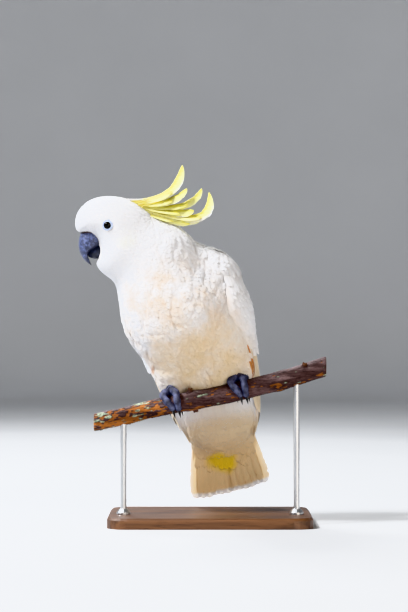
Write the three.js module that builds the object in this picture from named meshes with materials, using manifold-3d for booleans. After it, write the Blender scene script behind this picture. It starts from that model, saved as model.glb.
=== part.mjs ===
// A sulphur-crested cockatoo, life size, gripping a cut length of branch on a display stand.
// Millimetres, +Z up. The bird's breast faces -Y and its head is turned to its right, towards -X.
// The origin is the centre of the stand's underside.
import * as THREE from "three";
import { mergeVertices } from "three/addons/utils/BufferGeometryUtils.js";
import Module from "manifold-3d";

const wasm = await Module();
wasm.setup();

// ---- driving dimensions -------------------------------------------------------------------------

const GAP = 0.3; // clearance between pieces that meet
const WIDE_GAP = 1.4; // the same between curved shells, whose flat faces bulge past each other
const TURN = 2 * Math.PI;

const PERCH = { y: -30, halfLength: 150, midHeight: 165.5, rise: 0.235, radius: 12 };
const BASE = { length: 264, depth: 196, thickness: 14, corner: 26, bevel: 3 };
const ROD = { x: 112, radius: 4, collarRadius: 9, collarHeight: 7 };

const BODY = { blend: 9, biteBlend: 2.5, capShare: 0.16, columns: 22, farthest: 160 };
const SEAMS = { neckFrom: 0.5, headFrom: 0.625 }; // shares of the way from vent to forehead
const ROWS = { trunk: 14, neck: 4, head: 14 };

const BODY_YAW = THREE.MathUtils.degToRad(18);
const HEAD_TURN = THREE.MathUtils.degToRad(8);

const WING = { rows: 11, arcPoints: 6, thickness: 11, edge: 0.6 };
const TAIL = { feathers: 12, length: 139, rootHalf: 36, tipHalf: 53.5, thickness: 4, scallop: 2.6, skew: 0.03 };
const EYE = { radius: 6.4, forward: 12, up: 1, sink: 4.2 };
const FOOT = { toeRadius: 5.1, toeTip: 3.6, tarsusRadius: 5.4, clawLength: 15, gripRadius: 24, gripHalfWidth: 19 };

// ---- small tools ----------------------------------------------------------------------------------

const v3 = (x, y, z) => new THREE.Vector3(x, y, z);
const mix = (a, b, t) => a + (b - a) * t;
const smooth = (t) => THREE.MathUtils.smoothstep(t, 0, 1);
const steps = (n) => Array.from({ length: n }, (_, i) => i);

/** A smooth curve through points. */
const through = (points) => new THREE.CatmullRomCurve3(points, false, "catmullrom", 0.5);

/** The value at t of a smooth curve through evenly spaced values. */
const along = (values, t) => through(values.map((y) => v3(0, y, 0))).getPoint(THREE.MathUtils.clamp(t, 0, 1)).y;

/** Three axes at right angles, for a part whose own axis and left side are known. */
function frameOf(axis, left) {
  const up = axis.clone().normalize();
  const side = left.clone().addScaledVector(up, -left.dot(up)).normalize();
  return { left: side, dorsal: up.clone().cross(side), axial: up };
}

/** A closed body through rings of an even number of points, each end closed by a zigzag across its ring. */
function lofted(rings) {
  const n = rings[0].length;
  const index = [];
  const quad = (a, b, c, d) => index.push(a, b, c, a, c, d);
  rings.slice(1).forEach((_, r) => {
    steps(n).forEach((i) => {
      const [a, b] = [r * n + i, r * n + ((i + 1) % n)];
      quad(a, b, b + n, a + n);
    });
  });
  const last = (rings.length - 1) * n;
  steps(n / 2 - 1).forEach((i) => {
    quad(n - 1 - i, n - 2 - i, i + 1, i);
    quad(last + i, last + i + 1, last + n - 2 - i, last + n - 1 - i);
  });
  return new THREE.BufferGeometry().setFromPoints(rings.flat()).setIndex(index);
}

/** Turns every face round if the body's signed volume is negative. */
function facingOut(geometry) {
  const place = geometry.attributes.position;
  const index = geometry.index.array;
  const [a, b, c] = [v3(), v3(), v3()];
  let volume = 0;
  for (let i = 0; i < index.length; i += 3) {
    a.fromBufferAttribute(place, index[i]);
    b.fromBufferAttribute(place, index[i + 1]);
    c.fromBufferAttribute(place, index[i + 2]);
    volume += a.dot(b.cross(c));
  }
  if (volume < 0) {
    for (let i = 0; i < index.length; i += 3) {
      [index[i + 1], index[i + 2]] = [index[i + 2], index[i + 1]];
    }
  }
  return geometry;
}

/** A copy of a geometry with nothing but its positions. */
function bareOf(geometry) {
  const bare = geometry.clone();
  bare.deleteAttribute("normal");
  bare.deleteAttribute("uv");
  return bare;
}

/** A geometry as a manifold-3d solid. */
function solidOf(geometry) {
  const merged = facingOut(mergeVertices(bareOf(geometry), 1e-4));
  const vertProperties = merged.attributes.position.array;
  return new wasm.Manifold(
    new wasm.Mesh({ numProp: 3, vertProperties, triVerts: new Uint32Array(merged.index.array) }),
  );
}

/** A manifold-3d solid's largest piece as a geometry. */
function geometryOf(solid) {
  const largest = solid.decompose().reduce((a, b) => (a.volume() > b.volume() ? a : b));
  const mesh = largest.getMesh();
  return new THREE.BufferGeometry()
    .setAttribute("position", new THREE.BufferAttribute(mesh.vertProperties, 3))
    .setIndex(new THREE.BufferAttribute(mesh.triVerts, 1));
}

const without = (solid, ...cutters) => cutters.reduce((left, cutter) => left.subtract(cutter), solid);
const joined = (solids) => solids.reduce((whole, next) => whole.add(next));

/** A round tube of changing radius along points, its rings square to the way it runs. */
function tube(points, radii, sides, squash = 1, flatWay = v3(0, 0, 1)) {
  const curve = through(points);
  const rings = radii.map((radius, i) => {
    const t = i / (radii.length - 1);
    const across = flatWay.clone().cross(curve.getTangent(t)).normalize();
    const over = curve.getTangent(t).cross(across).normalize();
    return steps(sides).map((k) => {
      const angle = (TURN * k) / sides;
      return curve
        .getPoint(t)
        .addScaledVector(across, radius * Math.cos(angle))
        .addScaledVector(over, radius * squash * Math.sin(angle));
    });
  });
  return lofted(rings);
}

// ---- body: masses of flesh and feather, blended into one skin ---------------------------------------

const TRUNK_FRAME = frameOf(v3(-0.257, -0.424, 0.868), v3(Math.cos(BODY_YAW), -Math.sin(BODY_YAW), 0));
const TAIL_FRAME = frameOf(v3(-0.15, -0.36, 0.92), v3(0.98, 0, 0.16));
const NECK_FRAME = frameOf(v3(-0.7, -0.2, 0.68), v3(0.3, -0.9, 0.1));
const HEAD_FRAME = frameOf(v3(0, 0, 1), v3(Math.sin(HEAD_TURN), -Math.cos(HEAD_TURN), 0));

/** A rounded mass: its frame, its centre, and its radii to the left, to the back and along the axis. */
const MASSES = [
  { frame: TRUNK_FRAME, centre: v3(-20, 0, 240), radii: [73, 52, 92] }, // trunk
  { frame: TRUNK_FRAME, centre: v3(-51, -37, 266), radii: [63, 42, 62] }, // breast
  { frame: TRUNK_FRAME, centre: v3(-70, -36, 306), radii: [44, 38, 40] }, // crop
  { frame: TRUNK_FRAME, centre: v3(-6, 12, 196), radii: [56, 38, 42] }, // belly
  { frame: TAIL_FRAME, centre: v3(13, 48, 138), radii: [48, 19, 52] }, // vent and tail coverts
  { frame: TRUNK_FRAME, centre: v3(-12, 1, 314), radii: [55, 44, 48] }, // mantle
  { frame: NECK_FRAME, centre: v3(-68, -30, 342), radii: [46, 52, 50] }, // neck
  { frame: HEAD_FRAME, centre: v3(-120, -44, 389), radii: [30, 44, 32] }, // cranium
  { frame: HEAD_FRAME, centre: v3(-141, -46, 391), radii: [24, 28, 26] }, // brow
  { frame: HEAD_FRAME, centre: v3(-112, -44, 358), radii: [31, 30, 28] }, // cheek
  { frame: HEAD_FRAME, centre: v3(-125, -45, 344), radii: [16, 17, 17] }, // chin
];

/** The hollow in the face that the bill sits in. */
const BITE = { frame: HEAD_FRAME, centre: v3(-165.6, -50, 354.5), radii: [60, 24.5, 26] };

/** Roughly how far a point is outside one mass. */
function outside(point, { frame, centre, radii }) {
  const from = point.clone().sub(centre);
  const own = [from.dot(frame.left), from.dot(frame.dorsal), from.dot(frame.axial)];
  const near = Math.hypot(...own.map((x, i) => x / radii[i]));
  const slope = Math.hypot(...own.map((x, i) => x / radii[i] ** 2));
  return (near * (near - 1)) / (slope + 1e-9);
}

/** Roughly how far a point is outside the whole body: the masses softly blended, less the bite. */
function bodyField(point) {
  const sum = MASSES.reduce((total, mass) => total + Math.exp(-outside(point, mass) / BODY.blend), 0);
  const whole = -BODY.blend * Math.log(sum + 1e-30);
  const bite = -outside(point, BITE);
  const apart = Math.abs(whole - bite);
  return Math.max(whole, bite) + BODY.biteBlend * Math.log1p(Math.exp(-apart / BODY.biteBlend));
}

/** From the vent, up the middle of the trunk and the neck, to behind the forehead. */
const SPINE = through([
  v3(16, 46, 134), v3(-2, 16, 196), v3(-28, -14, 262), v3(-62, -28, 328), v3(-106, -42, 374), v3(-144, -46, 395),
]);

/**
 * The skin at a share of the way from vent (0) to forehead (1) and an angle round the spine.
 * A ray leaves the spine square to it, or fans out over an end of it, and stops where the field is grow.
 */
function skinPoint(share, angle, grow = 0) {
  const cap = BODY.capShare;
  const t = THREE.MathUtils.clamp((share - cap) / (1 - 2 * cap), 0, 1);
  const start = SPINE.getPoint(t);
  const ahead = SPINE.getTangent(t);
  const side = v3(1, 0.15, 0.35);
  side.addScaledVector(ahead, -side.dot(ahead)).normalize();
  const lean = share < cap ? share / cap - 1 : Math.max(0, (share - 1 + cap) / cap);
  const ray = side
    .clone()
    .multiplyScalar(Math.cos(angle))
    .addScaledVector(ahead.clone().cross(side), Math.sin(angle))
    .multiplyScalar(Math.cos((lean * Math.PI) / 2))
    .addScaledVector(ahead, Math.sin((lean * Math.PI) / 2));
  let [low, high] = [0, BODY.farthest];
  for (let i = 0; i < 18; i += 1) {
    const middle = (low + high) / 2;
    if (bodyField(start.clone().addScaledVector(ray, middle)) < grow) low = middle;
    else high = middle;
  }
  return start.addScaledVector(ray, (low + high) / 2);
}

/** A stretch of the body between two shares of the way, cut off flat at both ends. */
function bodyStretch(from, to, rows, grow = 0) {
  const rings = steps(rows + 1).map((row) => {
    const share = THREE.MathUtils.clamp(mix(from, to, row / rows), 1e-3, 1 - 1e-3);
    return steps(BODY.columns).map((k) => skinPoint(share, (TURN * k) / BODY.columns, grow));
  });
  return solidOf(lofted(rings));
}

const seamShare = (GAP * (1 - 2 * BODY.capShare)) / SPINE.getLength();

// ---- wings: folded, wrapped round the body's sides --------------------------------------------------

/** The middle line that both wings wrap round, from shoulder height down over the tail. */
const BACK_LINE = through([v3(-36, -6, 322), v3(-18, 4, 244), v3(2, 29, 174), v3(19, 60, 98)]);

/**
 * A folded wing's middle sheet. s runs from the shoulder to the tip and t from the front edge,
 * low on the breast's side, to the inner edge near the backbone.
 */
function wingPoint(side, s, t, lift) {
  const left = TRUNK_FRAME.left.clone().lerp(TAIL_FRAME.left, s).normalize();
  const down = BACK_LINE.getTangent(s);
  left.addScaledVector(down, -left.dot(down)).normalize();
  const dorsal = left.clone().cross(down).normalize();
  const front = along([80, 60, 60, 64, 74, 92], s);
  const back = along([122, 167, 175, 176, 172, 140], s);
  const angle = THREE.MathUtils.degToRad(mix(front, back, t));
  const reach = along([62, 79, 77, 72, 65, 52], s) + lift;
  const height = along([46, 60, 57, 50, 38, 24], s) + lift;
  return BACK_LINE.getPoint(s)
    .addScaledVector(left, side * reach * Math.sin(angle))
    .addScaledVector(dorsal, -height * Math.cos(angle));
}

/** Part of a folded wing as a solid shell, thickest along its middle and thin at both edges. */
function wingShell(side, { from, to, outer, depth, grow = 0 }) {
  const n = WING.arcPoints;
  const margin = grow / 60; // the edges grow as well as the faces
  const rings = steps(WING.rows + 1).map((row) => {
    const share = row / WING.rows;
    const s = mix(from - margin / 3, to + margin / 3, share);
    const close = Math.sqrt(Math.max(0, 1 - (2 * share - 1) ** 6)); // rounds both ends off
    const layer = (t, face) => {
      const bulge = Math.sqrt(Math.max(0, 1 - (2 * t - 1) ** 2));
      const half = (WING.edge / 2 + (depth / 2) * bulge * close) * face + grow * face;
      const squeezed = mix(0.5, mix(-margin, 1 + margin, t), mix(0.55, 1, close));
      return wingPoint(side, s, squeezed, outer - depth / 2 + half);
    };
    const over = steps(n).map((k) => layer(k / (n - 1), 1));
    const under = steps(n).map((k) => layer(1 - k / (n - 1), -1));
    return [...over, ...under];
  });
  return solidOf(lofted(rings));
}

const COVERTS = { from: 0.02, to: 0.62, outer: 6, depth: WING.thickness };
const FLIGHTS = { from: 0.3, outer: 0.5, depth: 5 };
const TIP = { left: 0.98, right: 0.92 }; // the right wing is held a little higher

// ---- tail: a fan of twelve feathers -------------------------------------------------------------------

const TAIL_ROOT = v3(9, 48, 158);

/** The tail fan: a runs from root to tip and b from the right edge (-1) to the left (1). */
function tailPoint(a, b, lift) {
  const { left, dorsal, axial } = TAIL_FRAME;
  const half = mix(TAIL.rootHalf, TAIL.tipHalf, Math.sqrt(a));
  const scallop = TAIL.scallop * Math.abs(Math.sin((b * TAIL.feathers * Math.PI) / 2));
  const length = TAIL.length * (1 - 0.05 * b * b - TAIL.skew * b) + scallop;
  const droop = 5 * b * b; // the edges curve down over the sides
  return TAIL_ROOT.clone()
    .addScaledVector(left, half * b)
    .addScaledVector(axial, -length * a)
    .addScaledVector(dorsal, lift - droop);
}

function tailFan(grow = 0) {
  const [rows, columns] = [4, TAIL.feathers * 2];
  const rings = steps(rows + 1).map((row) => {
    const a = row / rows;
    const half = mix(TAIL.thickness, 1.2, a) / 2 + grow;
    const across = (k) => (2 * k) / columns - 1;
    const over = steps(columns + 1).map((k) => tailPoint(a, across(k), half));
    const under = steps(columns + 1).map((k) => tailPoint(a, across(columns - k), -half));
    return [...over, ...under];
  });
  return solidOf(lofted(rings));
}

// ---- head: bill, eyes and crest ----------------------------------------------------------------------

const HEAD_CENTRE = v3(-122, -44, 388);

/** A point by its distance forwards, to the left of, and above the middle of the head. */
function headPoint(forward, left, up) {
  return HEAD_CENTRE.clone()
    .addScaledVector(HEAD_FRAME.dorsal, -forward)
    .addScaledVector(HEAD_FRAME.left, left)
    .addScaledVector(HEAD_FRAME.axial, up);
}

/** The front of the upper bill, an arc of an ellipse from the brow to the hooked tip. */
function culmen(t) {
  const angle = THREE.MathUtils.degToRad(mix(148, 250, t));
  return [21.5 - 26 * Math.cos(angle), -24.5 + 29.8 * Math.sin(angle)];
}

/** The upper bill's lower edge: the mouth, then the inside of the hook. */
const CUTTING_EDGE = through([
  v3(12, 0, -7), v3(15, 0, -20), v3(24, 0, -29), v3(33, 0, -34), v3(35.5, 0, -40), v3(33.6, 0, -45), v3(31, 0, -51.6),
]);

/** The upper bill: ovals between the culmen and the cutting edge, narrowing to the hook. */
function upperBill(grow = 0) {
  const [rows, sides] = [12, 14];
  const rings = steps(rows + 1).map((row) => {
    const t = row / rows;
    const [frontX, frontZ] = culmen(t);
    const edge = CUTTING_EDGE.getPoint(t);
    const half = 12.2 * Math.sqrt(1 - 0.985 * t * t) + grow;
    const reach = Math.hypot(frontX - edge.x, frontZ - edge.z) / 2 + grow;
    const [midX, midZ] = [(frontX + edge.x) / 2, (frontZ + edge.z) / 2];
    const [outX, outZ] = [(frontX - midX) / reach, (frontZ - midZ) / reach];
    return steps(sides).map((k) => {
      const angle = (TURN * k) / sides;
      const out = Math.cos(angle) * reach;
      return headPoint(midX + outX * out, Math.sin(angle) * half, midZ + outZ * out);
    });
  });
  return solidOf(lofted(rings));
}

/** The lower bill: a short scoop behind the hook. */
function lowerBill(grow = 0) {
  const path = [headPoint(8, 0, -31), headPoint(18, 0, -35), headPoint(27, 0, -38), headPoint(35, 0, -37)];
  const radii = [9, 10, 9.6, 8.6, 6.8, 4].map((r) => r + grow);
  return solidOf(tube(path, radii, 12, 0.72));
}

/** An eye's middle: just under the skin, at the side of the head. */
function eyeCentre(side) {
  const { forward, up, sink } = EYE;
  let [low, high] = [0, 60];
  for (let i = 0; i < 18; i += 1) {
    const middle = (low + high) / 2;
    if (bodyField(headPoint(forward, side * middle, up)) < 0) low = middle;
    else high = middle;
  }
  return headPoint(forward, side * (low - sink), up);
}

function eyeball(side, grow = 0) {
  const ball = new THREE.SphereGeometry(EYE.radius + grow, 12, 8);
  return solidOf(ball.translate(...eyeCentre(side).toArray()));
}

/**
 * Crest feathers: the root, the bend and the tip of each, as distances forward and up from the middle
 * of the head, then how far its tip splays to the left and its half width.
 */
const CREST = [
  { root: [-16, 29], bend: [-86, 24], tip: [-85, 77], splay: 1, half: 6.2 },
  { root: [-20, 26], bend: [-76, 20], tip: [-92, 47], splay: 7, half: 6.4 },
  { root: [-26, 22], bend: [-100, 8], tip: [-112, 49], splay: -5, half: 6.6 },
  { root: [-30, 19], bend: [-92, 0], tip: [-113, 30], splay: 6, half: 6.4 },
  { root: [-32, 16], bend: [-132, -18], tip: [-121, 43], splay: 0, half: 7 },
  { root: [-36, 10], bend: [-88, -10], tip: [-115, 8], splay: -6, half: 6 },
  { root: [-38, 6], bend: [-76, -10], tip: [-98, -2], splay: 4, half: 5.4 },
];

function crestFeather({ root, bend, tip, splay, half }) {
  const curve = new THREE.QuadraticBezierCurve3(
    headPoint(root[0], 0, root[1]),
    headPoint(bend[0], splay * 0.4, bend[1]),
    headPoint(tip[0], splay, tip[1]),
  );
  const radii = steps(8).map((i) => half * Math.sin(Math.PI * Math.min(0.5, 0.2 + i / 7)) * (1 - (i / 7) ** 4) + 0.5);
  return solidOf(tube(curve.getPoints(7), radii, 6, 0.62, HEAD_FRAME.left));
}

/** The crest: its long feathers, joined at the roots by the low ridge of short ones. */
function crest(headCutter) {
  const line = [headPoint(8, 0, 30), headPoint(-14, 0, 27), headPoint(-36, 0, 17), headPoint(-54, 0, 2)];
  const ridge = tube(line, [4, 8, 11, 13, 12, 6], 10, 0.9, HEAD_FRAME.left);
  return without(joined([solidOf(ridge), ...CREST.map(crestFeather)]), headCutter);
}

// ---- perch and stand ----------------------------------------------------------------------------------

/** The middle of the perch at x: it rises to the left of the bird and sags a little between its ends. */
function perchPoint(x) {
  const share = x / PERCH.halfLength;
  return v3(x, PERCH.y, PERCH.midHeight + PERCH.rise * x + 3.2 * share * share - 1.5 * Math.sin(share * 4));
}

/** The perch's radius: thicker towards its left end, with a few knots. */
function perchRadius(x, angle) {
  const knots = 1.3 * Math.exp(-(((x + 22) / 9) ** 2)) + 1.1 * Math.exp(-(((x - 92) / 7) ** 2));
  const ridges = 0.35 * Math.sin(3 * angle + x / 17) + 0.25 * Math.sin(5 * angle - x / 11);
  return PERCH.radius * (1 + 0.0004 * x) + knots + ridges;
}

function perchRod(grow = 0) {
  const [rows, sides] = [20, 10];
  const rings = steps(rows + 1).map((row) => {
    const x = mix(-PERCH.halfLength, PERCH.halfLength, row / rows);
    const centre = perchPoint(x);
    return steps(sides).map((k) => {
      const angle = (TURN * k) / sides;
      const radius = perchRadius(x, angle) + grow;
      return centre.clone().add(v3(0, Math.cos(angle) * radius, Math.sin(angle) * radius));
    });
  });
  return solidOf(lofted(rings));
}

/** A broken side twig: a short tapering stub that grows out of the perch. */
function stub(x, angle, length, radius) {
  const start = perchPoint(x);
  const out = v3(0.25, Math.cos(angle), Math.sin(angle)).normalize();
  const tip = start.clone().addScaledVector(out, PERCH.radius + length);
  return solidOf(tube([start, start.clone().lerp(tip, 0.5), tip], [radius * 1.6, radius * 1.2, radius * 0.8], 8, 1, v3(1, 0, 0)));
}

/** A stand rod from inside the base up to the middle of the perch. */
function standRod(x, grow = 0) {
  const foot = BASE.thickness * 0.4 - grow;
  const height = perchPoint(x).z + grow - foot;
  const rod = new THREE.CylinderGeometry(ROD.radius + grow, ROD.radius + grow, height, 16);
  rod.rotateX(Math.PI / 2).translate(x, PERCH.y, foot + height / 2);
  return solidOf(rod);
}

/** A rod with the turned collar that stands on the base round it. */
function collaredRod(x) {
  const { collarRadius: wide, collarHeight: tall } = ROD;
  const profile = [[0, 0], [wide, 0], [wide, tall * 0.35], [ROD.radius + 1.5, tall], [0, tall]];
  const collar = new THREE.LatheGeometry(profile.map(([r, z]) => new THREE.Vector2(r, z)), 16);
  collar.rotateX(Math.PI / 2).translate(x, PERCH.y, BASE.thickness + GAP);
  return standRod(x).add(solidOf(collar));
}

/** The stand's base: a flat board with round corners and a bevelled upper edge. */
function standBase() {
  const outline = (inset) => {
    const shape = [];
    const [halfX, halfY] = [BASE.length / 2 - BASE.corner, BASE.depth / 2 - BASE.corner];
    steps(4).forEach((corner) => {
      const [signX, signY] = [[1, 1], [-1, 1], [-1, -1], [1, -1]][corner];
      steps(6).forEach((i) => {
        const angle = (Math.PI / 2) * (corner + i / 5);
        const r = BASE.corner - inset;
        shape.push([signX * halfX + r * Math.cos(angle), signY * halfY + r * Math.sin(angle)]);
      });
    });
    return shape;
  };
  const levels = [[0, 0], [BASE.thickness - BASE.bevel, 0], [BASE.thickness, BASE.bevel]];
  const rings = levels.map(([z, inset]) => outline(inset).map(([x, y]) => v3(x, y, z)));
  return solidOf(lofted(rings));
}

// ---- legs, feet and claws --------------------------------------------------------------------------------

/** Each leg: where its foot grips the perch, and where its thigh is, above and behind that. */
const LEGS = {
  left: { side: 1, grip: 40, thigh: v3(34, -10, 208) },
  right: { side: -1, grip: -47, thigh: v3(-46, -12, 190) },
};

/** Toes: which way each wraps (1 to the front), its swing out along the perch, and how far round it reaches. */
const TOES = [
  { way: 1, swing: -10, end: -2, reach: 112 },
  { way: 1, swing: 6, end: 5, reach: 118 },
  { way: -1, swing: -9, end: -7, reach: 96 },
  { way: -1, swing: 9, end: 8, reach: 108 },
];

/** A point round the perch: x along it, the angle from its top towards the front, and the distance off its bark. */
function roundPerch(x, angle, off) {
  const centre = perchPoint(x);
  const radius = PERCH.radius * (1 + 0.0004 * x) + 0.6 + off;
  return centre.add(v3(-0.23 * Math.cos(angle) * radius, -Math.sin(angle) * radius, Math.cos(angle) * radius));
}

/** The line of a toe: from the palm on top of the perch, out to its swing, and round to its end. */
function toeLine(grip, { way, swing, end, reach }) {
  return steps(8).map((i) => {
    const t = i / 7;
    const out = t < 0.4 ? swing * Math.sin((t / 0.4) * (Math.PI / 2)) : mix(swing, end, smooth((t - 0.4) / 0.6));
    const angle = THREE.MathUtils.degToRad(way * mix(-6, reach, t));
    return roundPerch(grip + out, angle, mix(FOOT.toeRadius, FOOT.toeTip, t) + 0.5 * Math.sin(Math.PI * t));
  });
}

function toe(grip, toeShape) {
  const knuckle = (t) => 1 + 0.1 * Math.cos(t * TURN * 3);
  const radii = steps(7).map((i) => mix(FOOT.toeRadius, FOOT.toeTip, i / 6) * knuckle(i / 6));
  return solidOf(tube(toeLine(grip, toeShape), radii, 6, 1, v3(1, 0, 0)));
}

/** A claw: it leaves the toe's end along the toe, hooks a little towards the perch and comes to a point. */
function claw(grip, toeShape) {
  const line = toeLine(grip, toeShape);
  const tip = line.at(-1);
  const ahead = tip.clone().sub(line.at(-2)).normalize();
  const inwards = perchPoint(grip + toeShape.end).sub(tip).normalize();
  const path = [0.03, 0.35, 0.7, 1].map((t) =>
    tip
      .clone()
      .addScaledVector(ahead, GAP + FOOT.clawLength * t)
      .addScaledVector(inwards, FOOT.clawLength * (0.12 + 0.2 * t * t) - 1.2),
  );
  return solidOf(tube(path, [2.5, 2.2, 1.7, 1, 0.3], 6, 1, v3(1, 0, 0)));
}

/** The room that a foot and its claws take up round the perch. */
function gripRoom({ grip }) {
  const { gripRadius: radius, gripHalfWidth: half } = FOOT;
  const ends = [perchPoint(grip - half), perchPoint(grip + half)];
  return solidOf(tube(ends, [radius, radius], 14, 1, v3(0, 0, 1)));
}

/** A foot: the short scaly shank with its four toes, two to the front and two to the back. */
function foot({ grip, thigh }) {
  const palm = roundPerch(grip, 0, FOOT.toeRadius);
  const knee = palm.clone().lerp(thigh, 0.9);
  const shank = tube([palm, palm.clone().lerp(knee, 0.5), knee], [6.4, 5.6, FOOT.tarsusRadius], 8, 1, v3(1, 0, 0));
  return joined([solidOf(shank), ...TOES.map((shape) => toe(grip, shape))]);
}

/** The feathered thigh: an egg that hangs from the belly. */
function thigh({ thigh: centre, grip }, grow = 0) {
  const palm = roundPerch(grip, 0, 0);
  const low = centre.clone().lerp(palm, 0.62);
  const high = centre.clone().add(v3(0, 10, 34));
  const radii = [8, 15, 19, 20, 12].map((r) => r + grow);
  return solidOf(tube([low, centre, high], radii, 10, 1, v3(1, 0, 0)));
}

// ---- the finished model --------------------------------------------------------------------------------------

const FINISH = {
  feather: { color: 0xf2f0ea, roughness: 0.8 },
  yellow: { color: 0xf0d83a, roughness: 0.75 },
  bill: { color: 0x3d4150, roughness: 0.45 },
  eye: { color: 0x120d0b, roughness: 0.08 },
  foot: { color: 0x5a5f70, roughness: 0.7 },
  claw: { color: 0x1c1b1e, roughness: 0.4 },
  bark: { color: 0x6b4a36, roughness: 0.9 },
  board: { color: 0x2b2622, roughness: 0.5 },
  steel: { color: 0x8c8c8f, roughness: 0.35, metalness: 1 },
};
const materials = Object.fromEntries(
  Object.entries(FINISH).map(([name, look]) => [name, new THREE.MeshStandardMaterial(look)]),
);

const cockatoo = new THREE.Group();
cockatoo.name = "cockatoo";

/** Adds one named piece. */
function add(name, solid, finish) {
  const mesh = new THREE.Mesh(geometryOf(solid), materials[finish]);
  mesh.name = name;
  cockatoo.add(mesh);
}

const rodPlaces = [-ROD.x, ROD.x];
const perchCutter = perchRod(GAP);
const trunkCutter = bodyStretch(0, SEAMS.neckFrom, ROWS.trunk, 2 * GAP);
const headCutter = bodyStretch(SEAMS.neckFrom, SEAMS.headFrom, ROWS.neck, 2 * GAP).add(
  bodyStretch(SEAMS.headFrom - seamShare, 1, ROWS.head, 2 * GAP),
);
const sides = [["left", 1], ["right", -1]];

const wingCutters = sides.flatMap(([name, side]) => [
  wingShell(side, { ...COVERTS, grow: WIDE_GAP }),
  wingShell(side, { ...FLIGHTS, to: TIP[name], grow: WIDE_GAP }),
]);
const gripCutters = Object.values(LEGS).map(gripRoom);
const thighCutters = Object.values(LEGS).map((leg) => thigh(leg, 2 * GAP));
const bodyCutters = [...wingCutters, ...gripCutters, ...thighCutters, tailFan(GAP), perchCutter];
const eyeCutters = sides.map(([, side]) => eyeball(side, GAP));

add("trunk", without(bodyStretch(0, SEAMS.neckFrom - seamShare, ROWS.trunk), ...bodyCutters), "feather");
add("neck", without(bodyStretch(SEAMS.neckFrom, SEAMS.headFrom - seamShare, ROWS.neck), ...wingCutters), "feather");
add("head", without(bodyStretch(SEAMS.headFrom, 1, ROWS.head), ...eyeCutters, upperBill(GAP), lowerBill(GAP)), "feather");
add("tail", without(tailFan(), ...wingCutters), "feather");
add("crest", crest(headCutter), "yellow");
add("bill_upper", upperBill(), "bill");
add("bill_lower", without(lowerBill(), upperBill(GAP)), "bill");

sides.forEach(([name, side]) => {
  const leg = LEGS[name];
  add(`eye_${name}`, eyeball(side), "eye");
  add(`wing_${name}`, wingShell(side, COVERTS), "feather");
  const flights = wingShell(side, { ...FLIGHTS, to: TIP[name] });
  add(`flight_feathers_${name}`, without(flights, wingShell(side, { ...COVERTS, grow: WIDE_GAP })), "feather");
  add(`thigh_${name}`, without(thigh(leg), perchCutter, ...wingCutters, ...gripCutters), "feather");
  add(`foot_${name}`, without(foot(leg), thigh(leg, 2 * GAP), trunkCutter, perchCutter), "foot");
  TOES.forEach((shape, i) => {
    add(`claw_${name}_${i + 1}`, without(claw(leg.grip, shape), perchCutter), "claw");
  });
});

const stubs = [stub(-30, 1.9, 7, 3), stub(-22, -1.2, 4, 3.4), stub(118, 2.2, 6, 3)];
add("perch", without(joined([perchRod(), ...stubs]), ...rodPlaces.map((x) => standRod(x, GAP))), "bark");
add("stand_base", without(standBase(), ...rodPlaces.map((x) => standRod(x, GAP))), "board");
rodPlaces.forEach((x, i) => {
  add(`stand_rod_${["right", "left"][i]}`, collaredRod(x), "steel");
});

export default cockatoo;
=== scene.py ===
"""A sulphur-crested cockatoo gripping a branch on a display stand.

Lengths are in millimetres until a mesh is made, which is in metres. +Z is up, the breast faces -Y,
the head is turned towards -X, and "left" is the bird's own left. A point on the body is given by its
share of the way from the vent (0) to the forehead (1) and an angle round the spine, and a point on a
wing or on the tail by its share of the length and of the width.
"""

import math

import bpy
import mathutils
import numpy as np
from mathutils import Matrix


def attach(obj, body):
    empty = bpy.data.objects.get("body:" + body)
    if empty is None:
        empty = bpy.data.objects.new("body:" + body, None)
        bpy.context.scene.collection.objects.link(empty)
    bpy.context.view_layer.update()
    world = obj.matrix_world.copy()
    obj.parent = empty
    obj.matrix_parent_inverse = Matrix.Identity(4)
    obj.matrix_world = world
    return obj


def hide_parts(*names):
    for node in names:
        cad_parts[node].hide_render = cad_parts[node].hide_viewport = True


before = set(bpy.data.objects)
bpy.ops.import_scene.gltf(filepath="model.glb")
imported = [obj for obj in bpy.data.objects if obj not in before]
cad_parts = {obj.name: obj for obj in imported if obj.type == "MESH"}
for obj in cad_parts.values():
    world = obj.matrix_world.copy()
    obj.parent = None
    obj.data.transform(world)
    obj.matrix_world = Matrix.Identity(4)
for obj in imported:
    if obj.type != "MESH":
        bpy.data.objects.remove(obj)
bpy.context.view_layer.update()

TURN = 2 * math.pi
MM = 0.001
SIDES = {"left": 1, "right": -1}
chance = np.random.default_rng(11)


# ---- arithmetic ---------------------------------------------------------------------------------


def vec(*values):
    return np.array(values, float)


def mix(a, b, t):
    return a + (b - a) * t


def smooth(low, high, x):
    """0 below low, 1 above high, and 3t^2 - 2t^3 between them."""
    t = np.clip((x - low) / (high - low), 0, 1)
    return t * t * (3 - 2 * t)


def hump(x, middle, width):
    """The bell curve exp(-((x - middle) / width)^2)."""
    return np.exp(-(((x - middle) / width) ** 2))


def size_of(v):
    return np.linalg.norm(v, axis=-1)


def unit(v):
    return v / np.maximum(size_of(v), 1e-12)[..., None]


def dot(a, b):
    return (a * b).sum(-1, keepdims=True)


def round_turn(count):
    return np.linspace(0, TURN, count, endpoint=False)


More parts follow.
